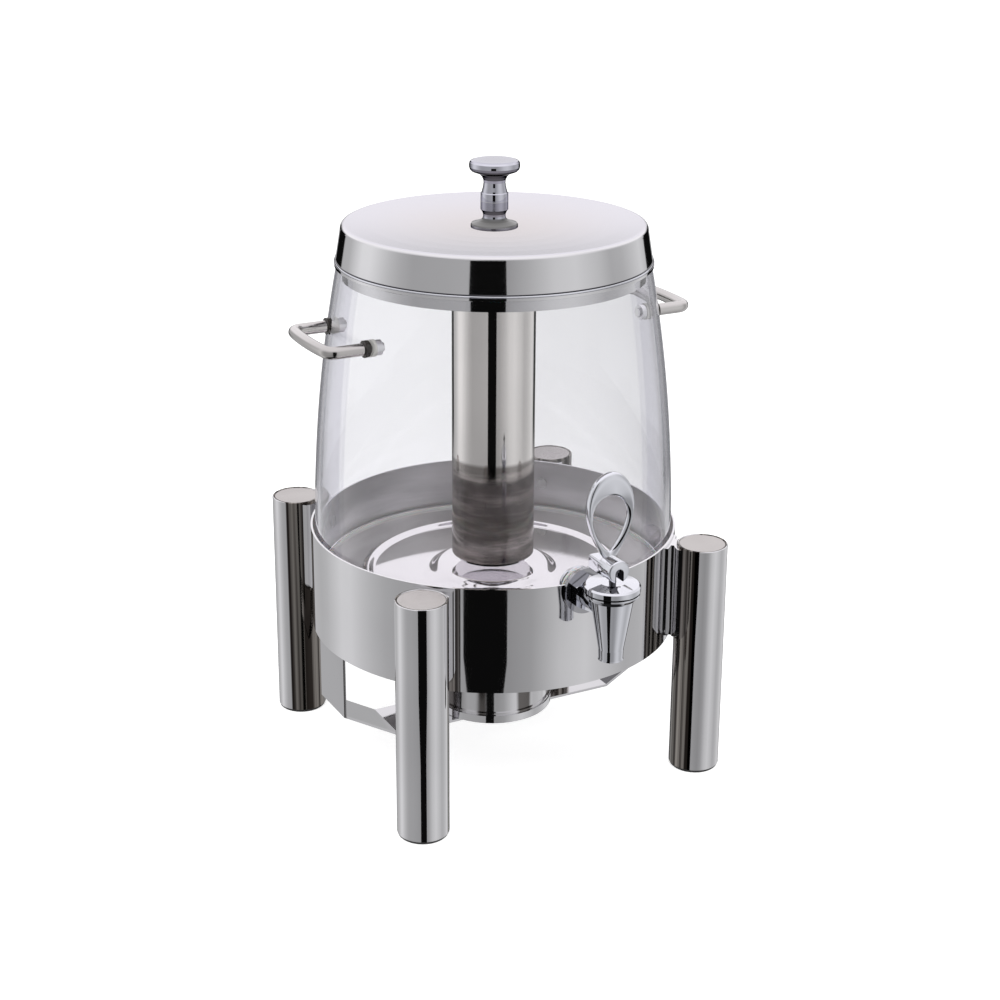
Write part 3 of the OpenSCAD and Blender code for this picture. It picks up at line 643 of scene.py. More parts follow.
@dataclass(frozen=True)
class LowReflectionSteel(Metal):
    """A polished tube whose lower end is rougher, with a painted darker reflection in uneven bands round
    it.
    """

    line: float = 0.236
    line_blur: float = 0.002
    # Painted reflection: the darker colour of the lower end.
    low_reflection: Colour = colour(0.34, 0.315, 0.3)
    band_scale: Triple = (18.0, 18.0, 140.0)
    band_range: Point = (0.42, 0.72)
    band_rough: Point = (0.08, 0.2)
    band_light: float = 1.9

    def surface(self, kit: NodeKit) -> Socket:
        """Builds the polish and the rougher lower end with its painted darker reflection.

        Args:
            kit: Where to build.

        Returns:
            The shader's output.
        """
        bright = super().surface(kit)
        # Painted reflection: the lower end's tint is darker, in uneven bands.
        shader = kit.metal()
        bands = kit.noise(self.band_scale)
        reflection_pale = scaled(self.low_reflection, self.band_light)
        tint = kit.blend(kit.span(bands, self.band_range), self.low_reflection, reflection_pale)
        kit.link(tint, shader.inputs["Base Color"])
        rough = kit.span(bands, POLISH_RANGE, self.band_rough)
        kit.link(rough, shader.inputs["Roughness"])
        blur = (self.line - self.line_blur, self.line + self.line_blur)
        low = kit.span(kit.upright(kit.place()), blur, (1.0, 0.0))
        return kit.mix(low, bright, shader.outputs["BSDF"])


@dataclass(frozen=True)
class SpunSteel(Metal):
    """A spun piece: mirror-bright side, and a top brushed in rings that changes toward its middle."""

    middle: Colour = colour(0.66, 0.615, 0.61)
    rim: Colour = colour(0.7, 0.69, 0.74)
    radius: float = 0.115
    top_rough: float = 0.2
    top_from: Point = (0.8, 0.97)
    ring_scale: float = 1400.0
    ring_contrast: float = 0.15
    ring_strength: float = 0.3
    ring_height: float = 0.000004

    def surface(self, kit: NodeKit) -> Socket:
        """Builds the bright side and the brushed top, told apart by how level the face is.

        Args:
            kit: Where to build.

        Returns:
            The shader's output.
        """
        side = super().surface(kit)
        shader = kit.metal()
        out = kit.vector("LENGTH", kit.outward()).outputs["Value"]
        tint = kit.blend(kit.span(out, (0.0, self.radius)), self.middle, self.rim)
        kit.link(tint, shader.inputs["Base Color"])
        rings = kit.add("ShaderNodeTexNoise", noise_dimensions="1D")
        rings.inputs["Scale"].default_value = self.ring_scale
        kit.link(out, rings.inputs["W"])
        pattern = rings.outputs["Fac"]
        contrast = self.top_rough * self.ring_contrast
        rough_range = (self.top_rough - contrast, self.top_rough + contrast)
        rough = kit.span(pattern, POLISH_RANGE, rough_range)
        kit.link(rough, shader.inputs["Roughness"])
        brushed = kit.bump(pattern, self.ring_strength, self.ring_height)
        kit.link(brushed, shader.inputs["Normal"])
        level = kit.span(kit.upright(kit.normal("True Normal")), self.top_from)
        return kit.mix(level, side, shader.outputs["BSDF"])


@dataclass(frozen=True)
class KnobChrome(SpunSteel):
    """The knob's deep chrome, with painted shade where it looks down and a painted dark outline where it
    is seen along its surface.
    """

    rough: Point = (0.01, 0.025)
    wave: float = 0.000002
    wave_scale: float = 60.0
    # Painted shade in crevices, up to this depth.
    painted_crevice_depth: float = 0.009
    # Painted shade: faces that look down keep only this share of their colour.
    under: float = 0.14
    # Painted outline: a black edge tint darkens what is seen along the surface.
    edge: float = 0.0


@dataclass(frozen=True)
class DrawnSteel(Metal):
    """A deep-drawn cup with darker upright draw marks."""

    rough: Point = (0.08, 0.16)
    streak: Colour = colour(0.16, 0.15, 0.145)
    streak_scale: Triple = (46.0, 46.0, 1.5)
    streak_range: Point = (0.46, 0.56)
    draw_scale: Triple = (200.0, 200.0, 4.0)
    draw_strength: float = 0.3
    draw_height: float = 0.00001

    def surface(self, kit: NodeKit) -> Socket:
        """Builds metal with soft upright streaks.

        Args:
            kit: Where to build.

        Returns:
            The shader's output.
        """
        shader = kit.metal()
        marks = kit.span(kit.noise(self.streak_scale, detail=1.0), self.streak_range)
        kit.link(kit.blend(marks, self.base, self.streak), shader.inputs["Base Color"])
        kit.link(kit.span(marks, (0.0, 1.0), self.rough), shader.inputs["Roughness"])
        drawn = kit.bump(kit.noise(self.draw_scale), self.draw_strength, self.draw_height)
        kit.link(drawn, shader.inputs["Normal"])
        return shader.outputs["BSDF"]


POLISHED = Metal("polished_steel")
LID_STEEL = SpunSteel("lid_steel")
CUP_STEEL = DrawnSteel("cup_steel")
HOOP_STEEL = HoopSteel("hoop_steel")
LEG_STEEL = PostSteel("leg_steel")
TUBE_STEEL = LowReflectionSteel("tube_steel", base=colour(0.95, 0.915, 0.885), shade=colour(0.9, 0.87, 0.84))
BRIGHT_CHROME = Metal(
    "bright_chrome",
    base=colour(0.8, 0.81, 0.86),
    shade=colour(0.76, 0.77, 0.82),
    rough=(0.02, 0.04),
    wave=0.000004,
    wave_scale=60.0,
    # Painted shade in crevices, up to this depth.
    painted_crevice_depth=0.0022,
)
# Painted shade: near-black metal for the valve stem inside the fork, the fork's inner walls and the dark
# rings in the lid's seams.
SHADE_METAL = Metal("painted_shade_metal", base=colour(0.12, 0.12, 0.13), shade=colour(0.08, 0.08, 0.09))
KNOB_HEAD_CHROME = KnobChrome(
    "knob_head_chrome",
    base=colour(0.7, 0.7, 0.77),
    shade=colour(0.64, 0.64, 0.71),
    middle=colour(0.47, 0.47, 0.53),
    rim=colour(0.51, 0.51, 0.58),
    radius=0.018,
    top_rough=0.07,
)
KNOB_FOOT_CHROME = KnobChrome(
    "knob_foot_chrome",
    base=colour(0.6, 0.6, 0.67),
    shade=colour(0.54, 0.54, 0.61),
    # Painted reflection: the foot's top is near black, standing in for the dark things it mirrors.
    middle=colour(0.035, 0.035, 0.033),
    rim=colour(0.17, 0.17, 0.165),
    radius=0.017,
    top_rough=0.05,
    top_from=(0.35, 0.6),
)
WASHER_STEEL = Metal(
    # Painted shade in crevices, up to 3 mm deep.
    "washer_steel", base=colour(0.46, 0.46, 0.48), shade=colour(0.38, 0.38, 0.4), painted_crevice_depth=0.003
)
STRAP_STEEL = Metal(
    # Painted shade in crevices, up to 3 mm deep.
    "strap_steel", base=colour(0.66, 0.655, 0.67), shade=colour(0.62, 0.615, 0.63), painted_crevice_depth=0.003
)
PAN_STEEL = Metal(
    "pan_steel", base=colour(0.86, 0.84, 0.86), shade=colour(0.82, 0.8, 0.82), rough=(0.05, 0.1)
)
NUT_STEEL = Metal(
    "nut_steel", base=colour(0.95, 0.95, 0.96), shade=colour(0.9, 0.9, 0.92), rough=(0.25, 0.35)
)
ROD_STEEL = Metal(
    "rod_steel",
    base=colour(0.66, 0.64, 0.63),
    shade=colour(0.56, 0.54, 0.53),
    rough=(0.08, 0.13),
    # Painted shade in crevices, up to this depth.
    painted_crevice_depth=0.002,
)
CAP_METAL = Metal(
    "cap_metal",
    base=colour(0.52, 0.495, 0.48),
    shade=colour(0.44, 0.415, 0.405),
    rough=(0.2, 0.3),
    wave=0.00001,
    wave_scale=50.0,
    grain=0.5,
    grain_scale=(300.0, 2500.0, 300.0),
)
PLAIN_STEEL = Metal(
    "plain_steel",
    base=colour(0.62, 0.61, 0.6),
    shade=colour(0.5, 0.5, 0.49),
    rough=(0.18, 0.3),
    grain=0.2,
)
CAN_METAL = Metal(
    "can_metal", base=colour(0.66, 0.52, 0.27), shade=colour(0.58, 0.45, 0.22), rough=(0.2, 0.35)
)
BLACK_RUBBER = Moulded("black_rubber")
BLACK_PLASTIC = Moulded("black_plastic", base=colour(0.02, 0.02, 0.02), rough=0.4)
SILICONE = Moulded(
    "seal_silicone", base=colour(0.82, 0.82, 0.8), shade=colour(0.76, 0.76, 0.74), rough=0.35, soft=0.3
)
DARK_WASHER = Moulded(
    "dark_washer", base=colour(0.02, 0.017, 0.015), shade=colour(0.035, 0.03, 0.026), rough=0.35
)
PALE_WASHER = Moulded(
    "pale_washer", base=colour(0.62, 0.61, 0.58), shade=colour(0.54, 0.53, 0.5), rough=0.5
)
CLEAR_PLASTIC = ClearPlastic("clear_plastic")

FINISH_BY_SLOT: dict[str, Finish] = {
    "polished steel": POLISHED,
    "chromed metal": BRIGHT_CHROME,
    "leg cap metal": CAP_METAL,
    "plain steel": PLAIN_STEEL,
    "brass-coloured can": CAN_METAL,
    "black rubber": BLACK_RUBBER,
    "black plastic": BLACK_PLASTIC,
    "seal silicone": SILICONE,
    "dark washer": DARK_WASHER,
    "pale washer": PALE_WASHER,
    "clear barrel": CLEAR_PLASTIC,
}
FINISH_BY_NODE: dict[str, Finish] = {
    "band": HOOP_STEEL,
    "lid_shell": LID_STEEL,
    "burner_cup": CUP_STEEL,
    "floor_pan": PAN_STEEL,
    "cooling_tube": TUBE_STEEL,
    "handle_nuts": NUT_STEEL,
    "knob_head": KNOB_HEAD_CHROME,
    "knob_foot": KNOB_FOOT_CHROME,
    "tap_washer": WASHER_STEEL,
    "shelf_strap": STRAP_STEEL,
    # Painted shade: the valve stem, deep in the fork, gets the near-black metal.
    "valve_stem": SHADE_METAL,
    "leg_front_left": LEG_STEEL,
    "leg_front_right": LEG_STEEL,
    "leg_rear_left": LEG_STEEL,
    "leg_rear_right": LEG_STEEL,
}
NOT_MIRRORED = ("knob_head", "knob_foot", "knob_screw")


@dataclass(frozen=True)
class Lamp:
    """A square soft lamp that mirrors don't show."""

    name: str
    place: Triple
    width: float
    watts: float

    def build(self, target: Vector) -> None:
        """Makes the lamp.

        Args:
            target: What it points at.
        """
        data = bpy.data.lights.new(self.name, "AREA")
        data.energy = self.watts
        data.size = self.width
        holder = bpy.data.objects.new(self.name, data)
        bpy.context.collection.objects.link(holder)
        holder.location = self.place
        holder.rotation_euler = (target - holder.location).to_track_quat("-Z", "Y").to_euler()
        holder.visible_glossy = False


@dataclass
class Studio:
    """The pale floor, the soft surroundings, the lamps and the camera.

    Panels are grey levels by the degrees turned from the black card. Edges and ranges of the
    surroundings are heights of a ray's direction, from -1 straight down to 1 straight up.
    """

    camera_place: Triple = (-0.63079, -1.21081, 0.71273)
    camera_target: Triple = (0.0, 0.0, 0.25)
    camera_roll_deg: float = 0.273
    lens_mm: float = 68.3
    sensor_mm: float = 36.0
    shift: Point = (0.0067, -0.0643)
    floor_width: float = 40.0
    floor_grey: float = 0.9
    floor_glow: float = 0.72
    backdrop_glow: Point = (0.42, 0.2)
    backdrop_range: Point = (-0.25, 0.25)
    diffuse_level: float = 0.62
    panels: tuple[Point, ...] = (
        (-180.0, 0.5), (-165.0, 0.49), (-163.0, 0.004), (-142.0, 0.004), (-140.5, 0.47), (-138.0, 0.49),
        (-128.0, 0.52), (-118.0, 0.71), (-110.0, 0.86), (-100.0, 0.87), (-90.0, 0.75), (-80.0, 0.61),
        (-70.0, 0.5), (-60.0, 0.43), (-33.0, 0.45), (-20.0, 0.47), (10.0, 0.38), (24.0, 0.5),
        (43.0, 0.7), (60.0, 0.76), (80.0, 0.62), (92.0, 0.49), (104.0, 0.52), (130.0, 0.75),
        (140.5, 0.6), (142.0, 0.004), (163.0, 0.004), (165.0, 0.49), (180.0, 0.5),
    )
    low_panels: tuple[Point, ...] = (
        (-180.0, 0.3), (-177.0, 0.01), (-160.0, 0.01), (-157.0, 0.5), (-138.0, 0.5), (-128.0, 0.55),
        (-118.0, 0.66), (-110.0, 0.76), (-100.0, 0.76), (-90.0, 0.64), (-80.0, 0.54), (-70.0, 0.46),
        (-60.0, 0.42), (-33.0, 0.4), (-20.0, 0.38), (10.0, 0.32), (24.0, 0.38), (43.0, 0.62),
        (60.0, 0.72), (80.0, 0.6), (92.0, 0.51), (104.0, 0.54), (130.0, 0.72), (157.0, 0.6),
        (160.0, 0.01), (177.0, 0.01), (180.0, 0.3),
    )
    panel_tint: Triple = (1.0, 1.0, 1.01)
    panel_change: Point = (-0.35, -0.31)
    ground_change: Point = (-0.93, -0.8)
    ground: Colour = grey(0.015)
    low_front: Point = (0.3, 0.85)
    low_back: Point = (0.05, 0.22)
    back_turn_deg: Point = (95.0, 150.0)
    overhead: Colour = colour(1.1, 1.08, 1.11)
    card_azimuth_deg: float = -27.5
    card_place: Point = (-0.2082, -0.3426)
    card_width: float = 0.157
    card_grey: float = 0.004
    card_rows: tuple[float, ...] = (-0.5, -0.06, 0.0, 0.52)
    card_narrow: float = 0.68
    card_narrow_rows: int = 2
    lamps: tuple[Lamp, ...] = (
        Lamp("top_lamp", (-0.9, -0.8, 2.4), 1.8, 26.0),
        Lamp("side_lamp", (1.9, -0.9, 1.3), 1.2, 9.0),
    )

    def build(self) -> None:
        """Makes the surroundings, the floor, the card, the lamps and the camera."""
        self.make_world()
        self.make_floor()
        self.make_card()
        for lamp in self.lamps:
            lamp.build(Vector(self.camera_target))
        self.make_camera()
        bpy.context.scene.view_settings.view_transform = "Standard"

    def mirrored_room(self, kit: NodeKit) -> Socket:
        """Builds what mirrors show: soft grey panels round the object, dark below and light above.

        Args:
            kit: Where to build.

        Returns:
            The room's colour.
        """
        way = kit.add("ShaderNodeTexCoord")
        axes = kit.add("ShaderNodeSeparateXYZ")
        kit.link(way.outputs["Generated"], axes.inputs[0])
        east, north, up = axes.outputs
        turned = kit.maths("ARCTAN2", east, kit.maths("MULTIPLY", north, -1.0))
        card = math.radians(self.card_azimuth_deg)
        from_card = kit.maths("WRAP", kit.maths("SUBTRACT", turned, card), math.pi, -math.pi)
        share = kit.maths("MULTIPLY_ADD", from_card, 1.0 / math.tau, 0.5)
        rings = []
        for panels in (self.low_panels, self.panels):
            stops = []
            for angle, level in panels:
                shade = tuple(level * part for part in self.panel_tint)
                stops.append((angle / 360.0 + 0.5, shade))
            rings.append(kit.ramp(share, tuple(stops)))
        ring = kit.blend(kit.span(up, self.panel_change), *rings)
        ring = kit.blend(kit.span(up, self.ground_change), self.ground, ring)
        turn_range = tuple(math.radians(angle) for angle in self.back_turn_deg)
        behind = kit.span(kit.maths("ABSOLUTE", from_card), turn_range)
        edges = []
        for front, back in zip(self.low_front, self.low_back):
            edges.append(kit.maths("MULTIPLY_ADD", behind, back - front, front))
        run = kit.maths("SUBTRACT", edges[1], edges[0])
        above = kit.maths("DIVIDE", kit.maths("SUBTRACT", up, edges[0]), run, clamp=True)
        return kit.blend(above, ring, self.overhead)

    def make_world(self) -> None:
        """Makes a world that is white to the camera, and a soft grey room to mirrors."""
        world = bpy.data.worlds.new("studio")
        bpy.context.scene.world = world
        world.use_nodes = True
        kit = NodeKit(world.node_tree)
        path = kit.add("ShaderNodeLightPath")
        seen = kit.maths("MAXIMUM", path.outputs["Is Camera Ray"], path.outputs["Is Transmission Ray"])
        plain = kit.blend(seen, grey(self.diffuse_level), grey(1.0))
        background = kit.add("ShaderNodeBackground")
        room = kit.blend(mirrored_ray(kit, path), plain, self.mirrored_room(kit))
        kit.link(room, background.inputs["Color"])
        background.inputs["Strength"].default_value = 1.0
        output = kit.add("ShaderNodeOutputWorld")
        kit.link(background.outputs[0], output.inputs["Surface"])

    def make_floor(self) -> None:
        """Makes a large pale floor that keeps the object's shadow and stays white round it."""
        mesh = bmesh.new()
        bmesh.ops.create_grid(mesh, x_segments=1, y_segments=1, size=self.floor_width / 2)
        floor = finish_mesh(mesh, "floor")
        floor.visible_glossy = False
        material = bpy.data.materials.new("pale_floor")
        material.use_nodes = True
        kit = NodeKit(material.node_tree)
        matt = kit.add("ShaderNodeBsdfDiffuse")
        matt.inputs["Color"].default_value = grey(self.floor_grey)
        glow = kit.add("ShaderNodeEmission")
        glow.inputs["Color"].default_value = grey(1.0)
        path = kit.add("ShaderNodeLightPath")
        side = math.radians(self.card_azimuth_deg)
        across = kit.vector("DOT_PRODUCT", kit.place(), (math.cos(side), math.sin(side), 0.0))
        through = kit.span(across.outputs["Value"], self.backdrop_range, self.backdrop_glow)
        shown = kit.maths("MULTIPLY", path.outputs["Is Camera Ray"], self.floor_glow)
        passed = kit.maths("MULTIPLY", path.outputs["Is Transmission Ray"], through)
        kit.link(kit.maths("ADD", shown, passed), glow.inputs["Strength"])
        total = kit.add("ShaderNodeAddShader")
        kit.link(matt.outputs[0], total.inputs[0])
        kit.link(glow.outputs[0], total.inputs[1])
        output = kit.add("ShaderNodeOutputMaterial")
        kit.link(total.outputs[0], output.inputs["Surface"])
        floor.data.materials.append(material)

    def make_card(self) -> None:
        """Makes the black card near the object, which only its mirrored rays meet."""
        mesh = bmesh.new()
        bmesh.ops.create_grid(mesh, x_segments=1, y_segments=len(self.card_rows) - 1, size=0.5)
        heights = sorted({round(vert.co.y, 4) for vert in mesh.verts})
        for vert in mesh.verts:
            row = heights.index(round(vert.co.y, 4))
            width = self.card_width * (self.card_narrow if row < self.card_narrow_rows else 1.0)
            vert.co = Vector((vert.co.x * width, self.card_rows[row], 0.0))
        upright = Matrix.Rotation(math.radians(90.0), 3, "X")
        turned = Matrix.Rotation(math.radians(self.card_azimuth_deg), 3, "Z")
        bmesh.ops.rotate(mesh, matrix=upright, verts=mesh.verts)
        bmesh.ops.rotate(mesh, matrix=turned, verts=mesh.verts)
        bmesh.ops.translate(mesh, vec=(*self.card_place, 0.0), verts=mesh.verts)
        card = finish_mesh(mesh, "black_card")
        card.visible_camera = card.visible_diffuse = False
        card.visible_shadow = card.visible_transmission = False
        material = bpy.data.materials.new("card_black")
        material.use_nodes = True
        kit = NodeKit(material.node_tree)
        dark = kit.add("ShaderNodeEmission")
        dark.inputs["Color"].default_value = grey(self.card_grey)
        output = kit.add("ShaderNodeOutputMaterial")
        kit.link(dark.outputs[0], output.inputs["Surface"])
        card.data.materials.append(material)

    def make_camera(self) -> None:
        """Makes the camera at the photograph's place and angle."""
        data = bpy.data.cameras.new("camera")
        data.sensor_width = self.sensor_mm
        data.lens = self.lens_mm
        data.shift_x, data.shift_y = self.shift
        camera = bpy.data.objects.new("camera", data)
        bpy.context.collection.objects.link(camera)
        camera.location = self.camera_place
        aim = (Vector(self.camera_target) - camera.location).to_track_quat("-Z", "Y")
        roll = Quaternion((0.0, 0.0, 1.0), math.radians(self.camera_roll_deg))
        camera.rotation_mode = "QUATERNION"
        camera.rotation_quaternion = aim @ roll
        bpy.context.scene.camera = camera


def finish_mesh(mesh: bmesh.types.BMesh, name: str) -> bpy.types.Object:
    """Turns a bmesh into an object with smooth faces and crisp edges.

    Args:
        mesh: The shape; it is freed.
        name: The piece's name.

    Returns:
        The new object.
    """
    for face in mesh.faces:
        face.smooth = True
    data = bpy.data.meshes.new(name)
    mesh.to_mesh(data)
    mesh.free()
    data.set_sharp_from_angle(angle=math.radians(SMOOTH_DEG))
    piece = bpy.data.objects.new(name, data)
    bpy.context.collection.objects.link(piece)
    return piece


def turn(name: str, outline: list[Point], steps: int = TURN_STEPS) -> bpy.types.Object:
    """Turns a closed outline round the upright axis.

    Args:
        name: The piece's name.
        outline: Distances from the axis and heights in millimetres.
        steps: Steps of the full turn.

    Returns:
        The turned piece.
    """
    mesh = bmesh.new()
    points = [mesh.verts.new((out * MM, 0.0, height * MM)) for out, height in outline]
    pairs = zip(points, points[1:] + points[:1])
    edges = [mesh.edges.new(pair) for pair in pairs if max(point.co.x for point in pair) > 0.0]
    bmesh.ops.spin(
        mesh,
        geom=points + edges,
        axis=(0, 0, 1),
        cent=(0, 0, 0),
        steps=steps,
        angle=math.tau,
        use_merge=True,
    )
    bmesh.ops.remove_doubles(mesh, verts=mesh.verts, dist=AXIS_MERGE)
    bmesh.ops.recalc_face_normals(mesh, faces=mesh.faces)
    return finish_mesh(mesh, name)


def wrap(name: str, across: int, along: int, place: Callable[[float, float], Vector]) -> bpy.types.Object:
    """Wraps a grid into a tube or a ring, and closes its open ends.

    Args:
        name: The piece's name.
        across: Steps round the section.
        along: Steps along the path.
        place: Gives the point for a share round the section and a share along the path.

    Returns:
        The wrapped piece.
    """
    mesh = bmesh.new()
    bmesh.ops.create_grid(mesh, x_segments=across, y_segments=along, size=0.5)
    for vert in mesh.verts:
        vert.co = place(vert.co.x + 0.5, vert.co.y + 0.5)
    bmesh.ops.remove_doubles(mesh, verts=mesh.verts, dist=SEAM_MERGE)
    bmesh.ops.holes_fill(mesh, edges=[edge for edge in mesh.edges if edge.is_boundary], sides=0)
    bmesh.ops.recalc_face_normals(mesh, faces=mesh.faces)
    return finish_mesh(mesh, name)


def round_edges(mesh: bmesh.types.BMesh, edges: list[bmesh.types.BMEdge], size: float) -> None:
    """Rounds edges of a bmesh.

    Args:
        mesh: The shape.
        edges: Its edges to round.
        size: Rounding in millimetres, 0 for none.
    """
    if size > 0.0:
        bmesh.ops.bevel(
            mesh,
            geom=edges,
            offset=size * MM,
            segments=ROUNDING_STEPS,
            affect="EDGES",
            profile=0.5,
            material=-1,
        )


def rod(name: str, start: Vector, end: Vector, radius: float, rounding: float = 0.0) -> bpy.types.Object:
    """Makes a round rod between two points.

    Args:
        name: The piece's name.
        start: One end in millimetres.
        end: The other end in millimetres.
        radius: Radius in millimetres.
        rounding: Rounding of the ends in millimetres.

    Returns:
        The rod.
    """
    mesh = bmesh.new()
    way = end - start
    middle = Matrix.Translation((start + end) / 2 * MM)
    bmesh.ops.create_cone(
        mesh,
        cap_ends=True,
        segments=ROD_STEPS,
        radius1=radius * MM,
        radius2=radius * MM,
        depth=way.length * MM,
        matrix=middle @ way.to_track_quat("Z", "Y").to_matrix().to_4x4(),
    )
    rims = [edge for edge in mesh.edges if any(len(face.verts) > 4 for face in edge.link_faces)]
    round_edges(mesh, rims, rounding)
    return finish_mesh(mesh, name)


def block(name: str, low: Vector, high: Vector, rounding: float = 0.0) -> bpy.types.Object:
    """Makes a block between two corners with rounded edges.

    Args:
        name: The piece's name.
        low: Lowest corner in millimetres.
        high: Highest corner in millimetres.
        rounding: Rounding of the edges in millimetres.

    Returns:
        The block.
    """
    mesh = bmesh.new()
    size = (high - low) * MM
    matrix = Matrix.Translation((low + high) / 2 * MM) @ Matrix.Diagonal((*size, 1.0))
    bmesh.ops.create_cube(mesh, size=1.0, matrix=matrix)
    round_edges(mesh, mesh.edges[:], rounding)
    return finish_mesh(mesh, name)


def combine(
    base: bpy.types.Object, joined: list[bpy.types.Object], cut: list[bpy.types.Object]
) -> bpy.types.Object:
    """Joins shapes to a base, cuts others away and keeps the result as the base's own mesh.

    Args:
        base: The piece to keep.
        joined: Shapes that become part of it.
        cut: Shapes that are taken away.

    Returns:
        The base.
    """
    for operation, tools in (("UNION", joined), ("DIFFERENCE", cut)):
        for tool in tools:
            step = base.modifiers.new(operation.lower(), "BOOLEAN")
            step.operation = operation
            step.solver = "EXACT"
            step.object = tool
    shaped = base.evaluated_get(bpy.context.evaluated_depsgraph_get())
    data = bpy.data.meshes.new_from_object(shaped)
    data.name = base.name
    base.modifiers.clear()
    base.data = data
    data.set_sharp_from_angle(angle=math.radians(SMOOTH_DEG))
    for tool in joined + cut:
        bpy.data.objects.remove(tool)
    return base


@dataclass
class Barrel:
    """The clear barrel: a turned wall with holes for the tap and the handle studs."""

    packed: Box = box_of("barrel")
    tap: Box = box_of("tap_inner_nut")
    handle: Box = box_of("handle_right")
    wall: float = 3.5
    straight: float = 30.0
    sweep: float = 1100.0
    rim: float = 0.6
    levels: int = 44
    steps: int = 288
    tap_hole: float = 8.2
    post_hole: float = 3.4
    drill_from: float = 100.0
    drill_past: float = 5.0

    def outer(self, rise: float) -> float:
        """Gives the wall's outer radius.

        Args:
            rise: Height above the wall's foot in millimetres.

        Returns:
            The radius in millimetres.
        """
        radius = self.packed.high.x
        if rise < self.straight:
            return radius
        return radius - self.sweep + math.sqrt(self.sweep ** 2 - (rise - self.straight) ** 2)

    def drills(self) -> list[bpy.types.Object]:
        """Makes the rods that drill the holes of the tap and of the four handle studs.

        Returns:
            The rods.
        """
        start, end = self.drill_from, self.packed.high.x + self.drill_past
        tap = Vector((0, 0, self.tap.middle.z))
        front = Vector((0, -1, 0))
        drills = [rod("tap_drill", tap + front * end, tap + front * start, self.tap_hole)]
        post_offset = self.handle.high.y - self.handle.size.z / 2
        for side in (-1, 1):
            post = Vector((0, side * post_offset, self.handle.middle.z))
            for way in (Vector((-1, 0, 0)), Vector((1, 0, 0))):
                drills.append(rod("post_drill", post + way * start, post + way * end, self.post_hole))
        return drills

    def build(self) -> list[bpy.types.Object]:
        """Turns the wall with rounded rims and drills its holes.

        Returns:
            The barrel alone.
        """
        foot, height = self.packed.low.z, self.packed.size.z
        inset = self.rim / height
        run = 1 - 2 * inset
        shares = [inset + run * step / self.levels for step in range(1, self.levels)]
        rises = [share * height for share in [0.0, inset] + shares + [1 - inset, 1.0]]
        outside, inside = [], []
        for rise in rises:
            end = self.rim if rise in (rises[0], rises[-1]) else 0.0
            outside.append((self.outer(rise) - end, foot + rise))
            inside.append((self.outer(rise) - self.wall + end, foot + rise))
        piece = turn("clear_wall", outside + inside[::-1], self.steps)
        combine(piece, [], self.drills())
        CLEAR_PLASTIC.dress(piece)
        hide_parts("barrel")
        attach(piece, Body.VESSEL.value)
        return [piece]


@dataclass
class FloorPan:
    """The pan that closes the barrel's foot: a raised middle, a flat and a rounded bead."""

    packed: Box = box_of("floor_pan")
    thickness: float = 1.2
    plateau_rise: float = 5.5
    plateau_edge: float = 50.0
    plateau_slope: float = 9.0
    bead_middle: float = 97.0
    bead_half: float = 5.0
    bead_rise: float = 3.0
    steps: int = 150

    def rise(self, out: float) -> float:
        """Gives the pressing's height above its flat.

        Args:
            out: Distance from the axis in millimetres.

        Returns:
            The height in millimetres.
        """
        share = min(max((self.plateau_edge - out) / self.plateau_slope, 0.0), 1.0)
        lift = self.plateau_rise * share * share * (3 - 2 * share)
        off = abs(out - self.bead_middle) / self.bead_half
        if off < 1.0:
            lift += self.bead_rise * (0.5 + 0.5 * math.cos(math.pi * off))
        return lift

    def build(self) -> list[bpy.types.Object]:
        """Turns the pan.

        Returns:
            The pan alone.
        """
        under = self.packed.low.z
        outs = [self.packed.high.x * step / self.steps for step in range(self.steps + 1)]
        top = [(out, under + self.thickness + self.rise(out)) for out in outs]
        below = [(out, under + self.rise(out)) for out in reversed(outs)]
        piece = turn("pressed_pan", top + below)
        PAN_STEEL.dress(piece)
        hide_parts("floor_pan")
        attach(piece, Body.VESSEL.value)
        return [piece]


